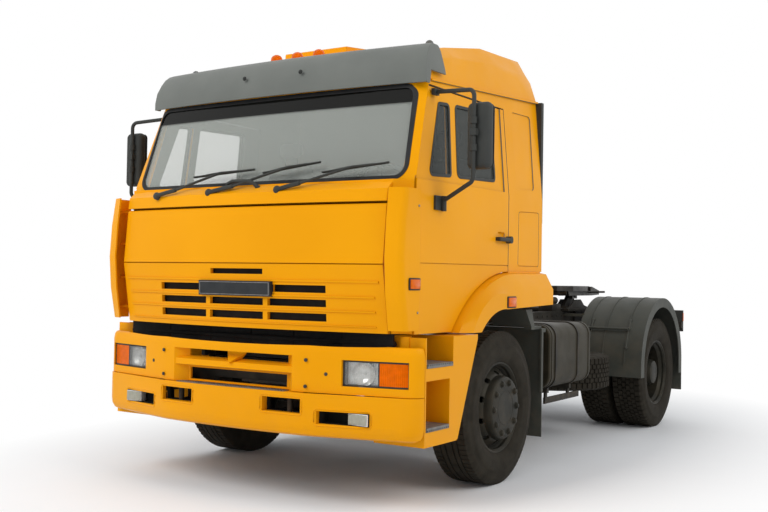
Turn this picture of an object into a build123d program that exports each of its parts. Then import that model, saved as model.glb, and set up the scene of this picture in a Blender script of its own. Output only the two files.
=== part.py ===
from build123d import *
import math
import os

os.makedirs("parts", exist_ok=True)

# Cab-over tractor unit, 4x2, high roof. Sizes in millimetres.
# Working frame: x = 0 on the centre plane (+x is the vehicle's left), y = 0 at the front axle (+y rearward),
# z = 0 on the ground. Every piece is moved by -MIDDLE_Y when it is written, so the origin is at mid length.

# ---------------------------------------------------------------- driving sizes
WHEELBASE = 3350
BUMPER_NOSE = 1402          # front axle to the foremost point of the bumper
REAR_END = 4150             # front axle to the rear face of the tail lamps
MIDDLE_Y = (REAR_END - BUMPER_NOSE) / 2

SEAT = 0.3                  # gap between a piece and what carries it
RUN_CLEAR = 0.3             # radial clearance of a pin or shaft
MOVE_GAP = 8                # gap between panels that move past each other
SCREEN_RUBBER, DOOR_RUBBER = 26, 19   # width of the window rubbers

TYRE_R, TYRE_W = 507, 295
RIM_R = 300
TYRE_BEAD_R = RIM_R + SEAT  # where the tyre sits on the rim
RIM_WELL_R = 268
RIM_SKIN = 9
AXLE_Z = TYRE_R
FRONT_WHEEL_X = 1042        # middle of the front tyre
REAR_WHEEL_X = 1037         # middle of the outer rear tyre
TWIN_SPACING = 322
KINGPIN_X, KINGPIN_R = 850, 24
SPINDLE_R = 42
HUB_R = 115

RAIL_X = 400                # outer face of the frame rails
RAIL_Z0, RAIL_Z1 = 820, 1070
RAIL_FLANGE, RAIL_SKIN = 75, 9
RAIL_Y0, RAIL_Y1 = -1060, 4085
LAMP_BAR_Y = 40             # depth of the bar that carries the tail lamps
CROSS_MEMBERS = (1650, 2450, 2950, 3750)

CAB_X = 1150                # half width of the cab below the belt line
BODY_X = 1252               # half width over arches, steps and bumper
CAB_SKIN, DOOR_SKIN = 45, 50
CAB_REAR = 690
CAB_BOTTOM, PANEL_BOTTOM = 1417, 1034
BELT_Z = 1925
DOOR_FRONT, DOOR_REAR = -1085, 132
DOOR_BOTTOM, DOOR_TOP = 1030, 2515
DOOR_INNER = 1036
DOOR_SEAM = 1447
TILT_Y, TILT_Z, TILT_R = -1125, 1010, 18
TILT_STEPS = (15, 25, 35, 42, 46, 50)   # angles at which room is cut for the lid as the cab tilts
HINGE_X, HINGE_Y, HINGE_R = 1142, -1083, 5
HINGE_HEIGHTS = (1240, 1760)

# The drip rail climbs towards the rear.
DRIP_Z, DRIP_Y, DRIP_SLOPE = 2546, -847, 0.0633


def drip_z(y):
    return DRIP_Z + DRIP_SLOPE * (y - DRIP_Y)


# ---------------------------------------------------------------- helpers
def outline(points, radius=0):
    if radius:
        return make_face(FilletPolyline(*points, radius=radius, close=True))
    return make_face(Polyline(*points, close=True))


def along_x(face, x0, x1):
    return extrude(Plane.YZ.offset(x0) * face, x1 - x0)


def along_y(face, y0, y1):
    return extrude(Plane.XZ.offset(-y1) * face, y1 - y0)


def along_z(face, z0, z1):
    return extrude(Plane.XY.offset(z0) * face, z1 - z0)


def block(x0, x1, y0, y1, z0, z1):
    return Pos((x0 + x1) / 2, (y0 + y1) / 2, (z0 + z1) / 2) * Box(x1 - x0, y1 - y0, z1 - z0)


def rounded_block(x0, x1, y0, y1, z0, z1, radius):
    box = block(x0, x1, y0, y1, z0, z1)
    return fillet(box.edges(), radius)


def rod(p, q, radius):
    a, b = Vector(*p), Vector(*q)
    return extrude(Plane(origin=a, z_dir=b - a) * Circle(radius), (b - a).length)


def tube_x(outer, inner, x0, x1, y, z):
    ring = Cylinder(outer, x1 - x0) - Cylinder(inner, x1 - x0 + 2)
    return Pos((x0 + x1) / 2, y, z) * Rot(0, 90, 0) * ring


def pipe(points, radius, bend):
    path = FilletPolyline(*points, radius=bend)
    return sweep(Plane(origin=path @ 0, z_dir=path % 0) * Circle(radius), path=path)


def turned(profile):
    """A solid of (x, radius) points turned about the wheel axis."""
    return Pos(0, 0, AXLE_Z) * revolve(make_face(Polyline(*profile, close=True)), axis=Axis.X)


def flip(shape):
    return mirror(shape, about=Plane.YZ)


def both(*shapes):
    return [s for shape in shapes for s in (shape, flip(shape))]


PIECES = {}


def piece(name, *shapes):
    solids = [s for shape in shapes for s in shape.solids()]
    PIECES[name] = Compound(children=[Pos(0, -MIDDLE_Y, 0) * s for s in solids])


# ---------------------------------------------------------------- cab surfaces
# Plan sections of the cab. Columns: z, half width, y where the side ends, corner x, corner y, y at the centre.
LOWER_SECTIONS = [
    (DOOR_BOTTOM - 60, CAB_X, DOOR_FRONT - MOVE_GAP, 1056, -1186, -1200),
    (BELT_Z, CAB_X, DOOR_FRONT - MOVE_GAP, 1056, -1186, -1200),
]
UPPER_SECTIONS = [
    (BELT_Z, CAB_X, DOOR_FRONT - MOVE_GAP, 1082, -1106, -1142),
    (2760, 1076, -790, 1012, -858, -895),
]


def plan_section(z, half, side_y, corner_x, corner_y, centre_y, inset):
    h, cx = half - inset, corner_x - 0.7 * inset
    sy, cy, my = side_y + 0.6 * inset, corner_y + inset, centre_y + inset
    rear = CAB_REAR - inset
    edges = [
        Line((-h, rear), (h, rear)),
        Line((h, rear), (h, sy)),
        Line((h, sy), (cx, cy)),
        ThreePointArc((cx, cy), (0, my), (-cx, cy)),
        Line((-cx, cy), (-h, sy)),
        Line((-h, sy), (-h, rear)),
    ]
    return Plane.XY.offset(z) * make_face(edges)


def cab_body(inset):
    parts = [loft([plan_section(*s, inset) for s in rows], ruled=True) for rows in (LOWER_SECTIONS, UPPER_SECTIONS)]
    return parts[0] + parts[1]


def cab_skin(outer, inner):
    return cab_body(outer) - cab_body(inner)


# Bowed front face of the lid and cowl. Columns: z, corner x, corner y, y at the centre.
LID_X = 1048
LID_TOP, LID_SEAM, LID_SKIN, LID_GAP = 1781, 1431, 26, 14
LID_HINGE_Y, LID_HINGE_Z = -1267, 1760
LID_SECTIONS = [
    (LID_TOP, LID_X - 4, -1234, -1293),
    (LID_TOP - 10, LID_X, -1243, -1303),
    (LID_SEAM, LID_X, -1273, -1328),
    (PANEL_BOTTOM, LID_X, -1208, -1318),
]
COWL_SECTIONS = [
    (LID_TOP + LID_GAP, LID_X, -1243, -1302),
    (1868, LID_X, -1232, -1286),
    (1912, LID_X, -1180, -1226),
    (BELT_Z + 2, 1060, -1108, -1144),
]


def front_section(z, corner_x, corner_y, centre_y, inset):
    x, y, m = corner_x - 0.2 * inset, corner_y + inset, centre_y + inset
    back = -1060 - inset
    edges = [
        ThreePointArc((x, y), (0, m), (-x, y)),
        Line((-x, y), (-x, back)),
        Line((-x, back), (x, back)),
        Line((x, back), (x, y)),
    ]
    return Plane.XY.offset(z) * make_face(edges)


def front_solid(rows, inset):
    return loft([front_section(*s, inset) for s in rows], ruled=True)


# ---------------------------------------------------------------- door and window outlines (side view: y, z)
# The upper edge of the wheel arch is a circle as far back as the door's rear edge, then nearly level.
ARCH_Y, ARCH_Z, ARCH_R = 159, 371, 1032
ARCH_BASE, ARCH_REAR, ARCH_TOP = 1024, 672, 1408
ARCH_TURN, ARCH_END = -98, DOOR_REAR + MOVE_GAP


def arch_height(y, radius):
    return ARCH_Z + math.sqrt(radius ** 2 - (y - ARCH_Y) ** 2)


def arch_foot(z, radius):
    return ARCH_Y - math.sqrt(radius ** 2 - (z - ARCH_Z) ** 2)


def door_outline(gap):
    g, low, top = gap, DOOR_BOTTOM + gap, DOOR_TOP - gap
    radius, rear = ARCH_R + MOVE_GAP + g, DOOR_REAR - g
    foot, end = arch_foot(low, radius), arch_height(rear, radius)
    edges = [
        Line((DOOR_FRONT + g, low), (foot, low)),
        ThreePointArc((foot, low), (ARCH_TURN, arch_height(ARCH_TURN, radius)), (rear, end)),
        Line((rear, end), (rear, top)),
        Line((rear, top), (-866 + g, top)),
        Line((-866 + g, top), (DOOR_FRONT + g, BELT_Z - 20)),
        Line((DOOR_FRONT + g, BELT_Z - 20), (DOOR_FRONT + g, low)),
    ]
    return make_face(edges)


WINDOWS = (
    ([(-925, 1962), (-645, 1978), (-612, 2446), (-757, 2434)], 34),
    ([(-575, 1980), (-38, 2002), (-38, 2466), (-545, 2450)], 40),
)
SCREEN = [(-1096, BELT_Z + 3), (1096, BELT_Z + 3), (1058, 2524), (-1058, 2524)]
SCREEN_ROUND, SCREEN_DEPTH = 90, -870


def screen_face(inset):
    return offset(outline(SCREEN, SCREEN_ROUND), -inset) if inset else outline(SCREEN, SCREEN_ROUND)


def window_face(points, radius, inset):
    face = outline(points, radius)
    return offset(face, -inset) if inset else face


# ---------------------------------------------------------------- cab shell
TUNNEL_X, TUNNEL_Z, TUNNEL_REAR, TUNNEL_SKIN = 400, 1560, 560, 25
FIREWALL_Y0, FIREWALL_Y1 = -1130, -1100
FLOOR_SKIN = 30
ARM_X0, ARM_X1 = 335, 385
SLEEPER_RECESS = [(276, 1985), (556, 1996), (572, 2530), (262, 2522)]
LOCKER = [(288, 1450), (636, 1450), (632, 1842), (294, 1830)]


def cab_shell():
    outer = cab_body(0)
    above = outline([(-1500, drip_z(-1500)), (900, drip_z(900)), (900, 3200), (-1500, 3200)])
    below = outline([(DOOR_FRONT + 30, 800), (900, 800), (900, CAB_BOTTOM), (DOOR_FRONT + 30, CAB_BOTTOM)])
    shell = outer - along_x(above, -1300, 1300) - along_x(below, -1300, 1300)
    shell -= block(-1300, 1300, -1500, DOOR_FRONT + 30, 800, PANEL_BOTTOM)
    cavity = cab_body(CAB_SKIN)
    cavity -= block(-1300, 1300, DOOR_FRONT + 30, CAB_REAR, 800, CAB_BOTTOM + FLOOR_SKIN)
    cavity -= block(-1300, 1300, FIREWALL_Y0, FIREWALL_Y1, CAB_BOTTOM, BELT_Z + 10)
    shell -= cavity
    # open front between the corner pillars, behind the lid
    shell -= block(-LID_X - MOVE_GAP, LID_X + MOVE_GAP, -1500, FIREWALL_Y0 - 1, 800, LID_TOP + LID_GAP)
    shell -= block(-700, 700, -1150, -1050, 800, CAB_BOTTOM - 1)
    # cowl under the windscreen
    cowl = front_solid(COWL_SECTIONS, 0) - front_solid(COWL_SECTIONS[:-1], 10)
    shell += cowl & block(-1300, 1300, -1500, FIREWALL_Y0 + 10, 1700, BELT_Z + 14)
    # room for the door's front edge as it swings
    relief = block(HINGE_X - 4, CAB_X + 5, DOOR_FRONT - MOVE_GAP - 6, DOOR_FRONT + 8, PANEL_BOTTOM, BELT_Z + 25)
    # door openings, as wide as the door with its gap
    door_room = cab_skin(-2, DOOR_SKIN + MOVE_GAP) & along_x(door_outline(-MOVE_GAP), DOOR_INNER - MOVE_GAP, 1300)
    shell -= door_room
    shell -= flip(door_room)
    shell -= along_y(screen_face(0), -1300, SCREEN_DEPTH)
    # engine tunnel
    shell += block(-TUNNEL_X, TUNNEL_X, FIREWALL_Y1, TUNNEL_REAR, CAB_BOTTOM, TUNNEL_Z)
    inner_x = TUNNEL_X - TUNNEL_SKIN
    shell -= block(-inner_x, inner_x, FIREWALL_Y1 - 1, TUNNEL_REAR - TUNNEL_SKIN, CAB_BOTTOM - 5, TUNNEL_Z - TUNNEL_SKIN)
    # pressed recess and locker lid in each side behind the door
    pressed = (cab_skin(-2, 8) & along_x(outline(SLEEPER_RECESS, 30), 900, 1300)).solids()
    groove = along_x(outline(LOCKER, 24), 900, 1300) - along_x(offset(outline(LOCKER, 24), -5), 899, 1301)
    pressed += (groove & cab_skin(-2, 6)).solids()
    for cut in pressed:
        shell -= cut
        shell -= flip(cut)
    shell -= relief
    shell -= flip(relief)
    # arms that carry the cab on the tilt axis, with the cross tube between the pillars
    for side in (-1, 1):
        x0, x1 = sorted((side * ARM_X0, side * ARM_X1))
        shell += block(x0, x1, TILT_Y - 35, TILT_Y + 45, TILT_Z - 30, CAB_BOTTOM + 20)
    shell += block(-1070, 1070, TILT_Y - 5, TILT_Y + 25, 1056, 1116)
    shell -= rod((-ARM_X1 - 5, TILT_Y, TILT_Z), (ARM_X1 + 5, TILT_Y, TILT_Z), TILT_R + RUN_CLEAR)
    # door hinge lugs
    for z in HINGE_HEIGHTS:
        lug = Pos(HINGE_X, HINGE_Y, z) * Cylinder(8, 24) + block(HINGE_X - 8, HINGE_X + 8, -1110, HINGE_Y, z - 12, z + 12)
        lug -= Pos(HINGE_X, HINGE_Y, z) * Cylinder(HINGE_R + RUN_CLEAR, 40)
        shell += lug
        shell += flip(lug)
    # lid hinge brackets
    for side in (-1, 1):
        x0, x1 = sorted((side * 294, side * 306))
        bracket = along_x(outline([(FIREWALL_Y0 + 2, 1700), (FIREWALL_Y0 + 2, 1790), (LID_HINGE_Y, LID_HINGE_Z + 9),
                                   (LID_HINGE_Y, LID_HINGE_Z - 9)]), x0, x1)
        bracket += rod((x0, LID_HINGE_Y, LID_HINGE_Z), (x1, LID_HINGE_Y, LID_HINGE_Z), 9)
        bracket -= rod((x0 - 5, LID_HINGE_Y, LID_HINGE_Z), (x1 + 5, LID_HINGE_Y, LID_HINGE_Z), HINGE_R + RUN_CLEAR)
        shell += bracket
    return shell


# ---------------------------------------------------------------- roof
# Cross sections of the high roof. Columns: y, crease z, crease x, edge z, edge x, crown z.
ROOF_SECTIONS = [
    (-905, 2674, 1076, 2715, 1025, 2755),
    (-526, 2750, 1060, 2822, 1000, 2865),
    (-24, 2812, 1050, 2918, 992, 2950),
    (591, 2834, 1050, 2945, 985, 2980),
    (CAB_REAR - 2, 2800, 1042, 2885, 975, 2915),
]
ROOF_SKIN = 25
HATCH = (-260, 260, -560, -40)


def roof_section(y, crease_z, crease_x, edge_z, edge_x, crown_z, inset):
    base_z, base_x = drip_z(y) + SEAT - (5 if inset else 0), 1095 - inset
    cx, cz, ex, ez, top = crease_x - inset, crease_z - inset / 2, edge_x - inset, edge_z - inset, crown_z - inset
    edges = [
        Line((-base_x, base_z), (base_x, base_z)),
        Line((base_x, base_z), (cx, cz)),
        Line((cx, cz), (ex, ez)),
        ThreePointArc((ex, ez), (0, top), (-ex, ez)),
        Line((-ex, ez), (-cx, cz)),
        Line((-cx, cz), (-base_x, base_z)),
    ]
    return Plane.XZ.offset(-y) * make_face(edges)


def roof_solid(inset):
    rows = [list(s) for s in ROOF_SECTIONS]
    rows[0][0] += inset
    rows[-1][0] -= inset
    return loft([roof_section(*s, inset) for s in rows], ruled=True)


def cab_roof():
    roof = roof_solid(0) - roof_solid(ROOF_SKIN)
    x0, x1, y0, y1 = HATCH
    lid = along_x(outline([(y0, 2820), (y0 + 12, 2908), (y1 - 12, 2966), (y1, 2890)]), x0, x1)
    roof += lid - roof_solid(ROOF_SKIN)
    under_visor = roof & block(-1300, 1300, -1400, VISOR_REAR, 2400, VISOR_TOP) & visor_solid(VISOR_SKIN + SEAT)
    above_visor = roof & block(-1300, 1300, -1400, VISOR_REAR, VISOR_TOP, 3200)
    roof = (roof & block(-1300, 1300, VISOR_REAR, CAB_REAR + 50, 2400, 3200)) + under_visor + above_visor
    rail = outline([(-850, drip_z(-850) + SEAT), (CAB_REAR, drip_z(CAB_REAR) + SEAT),
                    (CAB_REAR, drip_z(CAB_REAR) + 13), (-850, drip_z(-850) + 13)])
    return roof + along_x(rail, 1085, 1107) + along_x(rail, -1107, -1085)


# ---------------------------------------------------------------- visor
# Plan sections of the sun visor. Columns: z, y at the centre, corner x, corner y.
VISOR_TOP = 2785
VISOR_SECTIONS = [
    (2522, -1010, 1122, -945),
    (2570, -1014, 1120, -946),
    (2640, -1000, 1114, -934),
    (2700, -972, 1105, -905),
    (2745, -940, 1097, -874),
    (2772, -908, 1088, -842),
    (VISOR_TOP, -878, 1080, -812),
]
VISOR_SKIN, VISOR_REAR = 12, -700
VISOR_PADS = ((-800, 2668), (-742, 2676))   # y, z of the fixings on each side


def visor_section(z, centre_y, corner_x, corner_y, inset):
    x, y, m = corner_x - inset, corner_y + inset, centre_y + inset
    edges = [
        ThreePointArc((x, y), (0, m), (-x, y)),
        Line((-x, y), (-x, VISOR_REAR + 100)),
        Line((-x, VISOR_REAR + 100), (x, VISOR_REAR + 100)),
        Line((x, VISOR_REAR + 100), (x, y)),
    ]
    return Plane.XY.offset(z) * make_face(edges)


def visor_solid(inset):
    return loft([visor_section(*r, inset) for r in VISOR_SECTIONS], ruled=True)


def visor():
    side = outline([(-1100, 2500), (-905, 2500), (-880, 2606), (VISOR_REAR, 2606), (VISOR_REAR - 72, 2900),
                    (-1100, 2900)])
    shade = (visor_solid(0) - visor_solid(VISOR_SKIN)) & along_x(side, -1300, 1300)
    pads = []
    for y, z in VISOR_PADS:
        for s in (-1, 1):
            x0, x1 = sorted((s * 1040, s * 1106))
            pads.append(rod((x0, y, z), (x1, y, z), 14) - roof_solid(0))
    for pad in pads:
        shade += pad & visor_solid(2)
    return shade


# ---------------------------------------------------------------- doors
HANDLE_Y, HANDLE_Z = 35, 1625


def door():
    panel = cab_skin(0, DOOR_SKIN) & along_x(door_outline(0), DOOR_INNER, 1300)
    # the window field is pressed in above the belt line
    field = outline([(-1150, BELT_Z + 10), (74, BELT_Z + 22), (84, DOOR_TOP + 20), (-1150, DOOR_TOP + 20)])
    panel -= cab_skin(-2, 10) & along_x(field, 850, 1300)
    for points, radius in WINDOWS:
        panel -= along_x(outline(points, radius), 850, 1300)
    # the front edge stays as thick as the skin, so that it clears the floor as it swings
    panel -= block(DOOR_INNER - 20, CAB_X - DOOR_SKIN, DOOR_FRONT - 10, DOOR_FRONT + 60, DOOR_BOTTOM - 10, BELT_Z + 6)
    seam = outline([(DOOR_FRONT - 20, DOOR_SEAM - 6), (200, DOOR_SEAM + 2), (200, DOOR_SEAM + 7),
                    (DOOR_FRONT - 20, DOOR_SEAM - 1)])
    panel -= along_x(seam, CAB_X - 6, CAB_X + 5)
    # pocket behind the handle
    panel -= rounded_block(CAB_X - 14, CAB_X + 40, HANDLE_Y - 60, HANDLE_Y + 40, HANDLE_Z - 6, HANDLE_Z + 48, 12)
    for z in HINGE_HEIGHTS:
        panel -= block(HINGE_X - 17, CAB_X + 1, DOOR_FRONT - 5, HINGE_Y + 15, z - 15, z + 15)
        panel += Pos(HINGE_X, HINGE_Y, z) * Cylinder(HINGE_R, 40)
    return panel


def door_panes():
    panes = []
    for points, radius in WINDOWS:
        panes += (cab_skin(16, 21) & along_x(window_face(points, radius, DOOR_RUBBER), 850, 1300)).solids()
    return panes


def door_trim():
    """Window rubbers and the handle."""
    trim = []
    for points, radius in WINDOWS:
        ring = along_x(window_face(points, radius, 0), 850, 1300) - along_x(window_face(points, radius, DOOR_RUBBER), 849, 1301)
        trim += (cab_skin(7, 30) & ring).solids()
    bar = rounded_block(CAB_X + 12, CAB_X + 38, HANDLE_Y - 95, HANDLE_Y + 95, HANDLE_Z - 14, HANDLE_Z + 14, 8)
    bar += Pos(CAB_X + 19, HANDLE_Y + 78, HANDLE_Z) * Rot(0, 90, 0) * Cylinder(24, 38)
    bar += block(CAB_X, CAB_X + 20, HANDLE_Y - 92, HANDLE_Y - 70, HANDLE_Z - 12, HANDLE_Z + 12)
    return trim + [bar]


MIRROR_X, MIRROR_Y = 1411, -884


def door_mirror():
    arm = pipe([(1120, -812, 2482), (MIRROR_X, MIRROR_Y, 2459), (MIRROR_X, MIRROR_Y, 1925), (1172, -806, 1822)], 13, 42)
    head = rounded_block(MIRROR_X - 62, MIRROR_X + 92, MIRROR_Y + 16, MIRROR_Y + 92, 1998, 2391, 35)
    clamp = block(MIRROR_X - 20, MIRROR_X + 24, MIRROR_Y - 18, MIRROR_Y + 24, 2190, 2230)
    lower = block(CAB_X, CAB_X + 14, -884, -760, 1765, 1850) + Pos(1176, -806, 1805) * Cylinder(16, 90)
    lower += block(CAB_X, 1180, -820, -792, 1775, 1835)
    upper = block(1092, 1124, -846, -790, 2462, 2500)
    return (arm + head + clamp + lower + upper) - cab_body(0)


# ---------------------------------------------------------------- lid: front panel and grille
# Grille openings. Columns: z low, z high, half width, half width of the middle part between the bars.
SLOTS = [(1091, 1137, 666, 215), (1176, 1219, 666, 215), (1259, 1303, 666, 215), (1365, 1398, 211, 0)]
SLOT_BAR = 34
BADGE = (-286, 286, 1232, 1319)
RIB_ROWS = [(1066, 1072), (1150, 1160), (1233, 1243), (1322, 1334)]


def lid_skin(rows):
    return front_solid(rows, 0) - front_solid(rows, LID_SKIN)


def front_face(z0, z1):
    return block(-1300, 1300, -1500, FIREWALL_Y0 - MOVE_GAP, z0, z1)


def front_panel():
    panel = lid_skin(LID_SECTIONS) & front_face(LID_SEAM + 3, LID_TOP)
    for side in (-1, 1):
        x0, x1 = sorted((side * 290, side * 310))
        panel -= block(x0, x1, LID_HINGE_Y - 14, -1200, LID_HINGE_Z - 60, LID_TOP + 1)
        for a, b in ((310, 320), (280, 290)):
            l0, l1 = sorted((side * a, side * b))
            panel += rod((l0, LID_HINGE_Y, LID_HINGE_Z), (l1, LID_HINGE_Y, LID_HINGE_Z), 10)
        p0, p1 = sorted((side * 278, side * 322))
        panel += rod((p0, LID_HINGE_Y, LID_HINGE_Z), (p1, LID_HINGE_Y, LID_HINGE_Z), HINGE_R)
    return panel


def grille():
    panel = lid_skin(LID_SECTIONS) & front_face(PANEL_BOTTOM, LID_SEAM - 3)
    behind = front_solid(LID_SECTIONS, LID_SKIN) - front_solid(LID_SECTIONS, LID_SKIN + 8)
    panel += behind & front_face(LID_SEAM - 30, LID_SEAM + 30)
    ribs = front_solid(LID_SECTIONS, -7) - front_solid(LID_SECTIONS, 5)
    for z0, z1 in RIB_ROWS:
        half = 1015 if z0 > 1300 else 985
        panel += ribs & block(-half, half, -1500, -1100, z0, z1)
    for z0, z1, half, middle in SLOTS:
        panel -= block(-half, half, -1500, -1150, z0, z1)
        if middle:
            for side in (-1, 1):
                x0, x1 = sorted((side * middle, side * (middle + SLOT_BAR)))
                panel += lid_skin(LID_SECTIONS) & block(x0, x1, -1500, -1100, z0 - 1, z1 + 1)
    x0, x1, z0, z1 = BADGE
    plate = front_solid(LID_SECTIONS, -24) - front_solid(LID_SECTIONS, LID_SKIN)
    return panel + (plate & block(x0, x1, -1500, -1100, z0, z1))


# ---------------------------------------------------------------- corner vanes
# Front edge of the vane. Columns: z, y of the front edge, how far behind it the rounded corner lies.
VANE_ROWS = [(1054, -1267, 34), (1260, -1302, 22), (1471, -1318, 20), (1690, -1304, 23), (1868, -1283, 38)]
VANE_SKIN, VANE_FRONT_X, VANE_X, VANE_ROUND = 12, 1086, 1190, 55
VANE_REAR = DOOR_FRONT - 12
VANE_BRACKETS = (1130, 1330, 1560, 1780)


def vane_curve(y, turn, inset):
    x = VANE_X - inset
    points = [(VANE_FRONT_X, y + inset), (x - 6, y + turn + inset), (x, VANE_REAR)]
    return FilletPolyline(*points, radius=VANE_ROUND - inset).edges()


def vane_section(z, y, turn):
    x, t = VANE_X, VANE_SKIN
    ends = [Line((x, VANE_REAR), (x - t, VANE_REAR)), Line((VANE_FRONT_X, y + t), (VANE_FRONT_X, y))]
    return Plane.XY.offset(z) * make_face([*vane_curve(y, turn, 0), *vane_curve(y, turn, t), *ends])


def vane_filler():
    """The room between a vane and the cab's corner."""
    rows = []
    for z, y, turn in VANE_ROWS:
        ends = [Line((VANE_X, VANE_REAR), (VANE_FRONT_X, VANE_REAR)), Line((VANE_FRONT_X, VANE_REAR), (VANE_FRONT_X, y))]
        rows.append(Plane.XY.offset(z) * make_face([*vane_curve(y, turn, 0), *ends]))
    return loft(rows, ruled=True)


def corner_vane():
    vane = loft([vane_section(*r) for r in VANE_ROWS], ruled=True)
    room = vane_filler() + block(1000, VANE_FRONT_X, -1300, -1100, 1000, 1900)
    for z in VANE_BRACKETS:
        stay = block(1055, VANE_X - 6, -1190, -1150, z - 8, z + 8) - cab_body(-SEAT)
        vane += stay & room
    return vane


# ---------------------------------------------------------------- wheel arches on the cab
def round_row(x, radius, rear_z):
    """A row of the arch that follows the circle of its upper edge."""
    heights = [arch_height(y, radius) for y in (-424, ARCH_TURN, 20, ARCH_END)]
    return (x, arch_foot(ARCH_BASE, radius), -424, *heights, rear_z)


# Stations of the arch band, from its root on the cab to its outer crease.
# Columns: x, y of the foot, y and z half way up, z at ARCH_TURN, z at y = 20, z at ARCH_END, z at the rear.
ARCH_SKIN = 14
ARCH_ROWS = [
    round_row(CAB_X + 6, ARCH_R, ARCH_TOP),
    round_row(CAB_X + 45, ARCH_R - 8, ARCH_TOP - 8),
    (BODY_X, -547, -358, 1210, 1263, 1268, 1279, 1292),
]
ARCH_LOW = [(-434, ARCH_BASE), (-300, 1118), (-60, 1162), (ARCH_REAR, 1183)]   # lower edge, front to rear


def arch_face(row, inset):
    """Side view of the band at one station, `inset` inside it and open below when it isn't 0."""
    x, foot, via_y, via_z, turn_z, mid_z, end_z, rear_z = row
    i = inset
    base, low = ARCH_BASE, 2 if inset else 0
    front, turn, end, rear = (foot + 1.2 * i, base - low), (ARCH_TURN, turn_z - i), (ARCH_END, end_z - i), ARCH_REAR - i
    p, q, r, s = ARCH_LOW
    bottom = [(y, z - low) for y, z in (p, q, r)] + [(rear, s[1] - low)]
    return make_face([
        Line(bottom[0], front),
        ThreePointArc(front, (via_y + 0.6 * i, via_z - 0.8 * i), turn),
        ThreePointArc(turn, (20, mid_z - i), end),
        Line(end, (rear, rear_z - i)),
        Line((rear, rear_z - i), bottom[3]),
        Line(bottom[3], bottom[2]),
        ThreePointArc(bottom[2], bottom[1], bottom[0]),
    ])


def arch_solid(inset):
    rows = ARCH_ROWS
    outer_x = BODY_X - inset
    stations = [(rows[0][0], rows[0]), (rows[1][0] - inset / 2, rows[1]), (outer_x, rows[2])]
    solid = loft([Plane.YZ.offset(x) * arch_face(row, inset) for x, row in stations], ruled=True)
    return solid + along_x(arch_face(rows[0], inset), CAB_X - CAB_SKIN + inset, rows[0][0])


def arch_liner():
    p, q, r, s = ARCH_LOW
    t = 6
    edges = [
        ThreePointArc(p, q, r),
        Line(r, s),
        Line(s, (s[0], s[1] + t)),
        Line((s[0], s[1] + t), (r[0], r[1] + t)),
        ThreePointArc((r[0], r[1] + t), (q[0] - 4, q[1] + 5), (p[0] - t, p[1])),
        Line((p[0] - t, p[1]), p),
    ]
    return along_x(make_face(edges), 870, CAB_X - 20)


def arch_band():
    flange = block(CAB_X - CAB_SKIN, CAB_X, ARCH_END, ARCH_REAR - 6, ARCH_TOP - 24, CAB_BOTTOM - SEAT)
    return arch_solid(0) - arch_solid(ARCH_SKIN) + arch_liner() + flange


# ---------------------------------------------------------------- bumper
BUMPER_Z0, BUMPER_SEAM, BUMPER_Z1 = 421, 675, 959
BUMPER_SKIN = 16
UPPER_BACK = 26             # the upper half stands back from the lower half


def bumper_plan(back, inset):
    b, i = back, inset
    x_end = BODY_X - i
    edges = [
        ThreePointArc((-575, b + i - 1372), (0, b + i - BUMPER_NOSE), (575, b + i - 1372)),
        Line((575, b + i - 1372), (1165 - 0.5 * i, b / 2 + i - 1226)),
        ThreePointArc((1165 - 0.5 * i, b / 2 + i - 1226), (1226 - 0.8 * i, b / 3 + 0.7 * i - 1190), (x_end, -1130)),
        Line((x_end, -1130), (-x_end, -1130)),
        ThreePointArc((-x_end, -1130), (-1226 + 0.8 * i, b / 3 + 0.7 * i - 1190), (-1165 + 0.5 * i, b / 2 + i - 1226)),
        Line((-1165 + 0.5 * i, b / 2 + i - 1226), (-575, b + i - 1372)),
    ]
    return make_face(edges)


# Sections of the rounded bumper edges. Columns: z, how far the face stands back.
LOWER_ROWS = [(BUMPER_Z0, 46), (BUMPER_Z0 + 14, 20), (BUMPER_Z0 + 44, 4), (BUMPER_Z0 + 80, 0), (BUMPER_SEAM, 0)]
UPPER_ROWS = [(BUMPER_SEAM + 3, 0), (BUMPER_Z1 - 50, 0), (BUMPER_Z1 - 20, 4), (BUMPER_Z1 - 6, 13), (BUMPER_Z1, 24)]


def bumper_solid(rows, back, inset):
    sections = [Plane.XY.offset(z) * bumper_plan(back, inset + set_back) for z, set_back in rows]
    return loft(sections, ruled=True)


LAMP = (792, 1192, 725, 876)          # headlamp opening: x0, x1, z0, z1
FOG = (655, 975, 503, 577)
LAMP_GAP = 0.5
TOW = (284, 555, 554, 639)
TOW_RIM_Y = -1345
# Openings in the wall behind the recess. Columns: half width, z low, z high.
NOSE_OPENINGS = [(392, 690, 765), (400, 838, 1000)]


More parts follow.
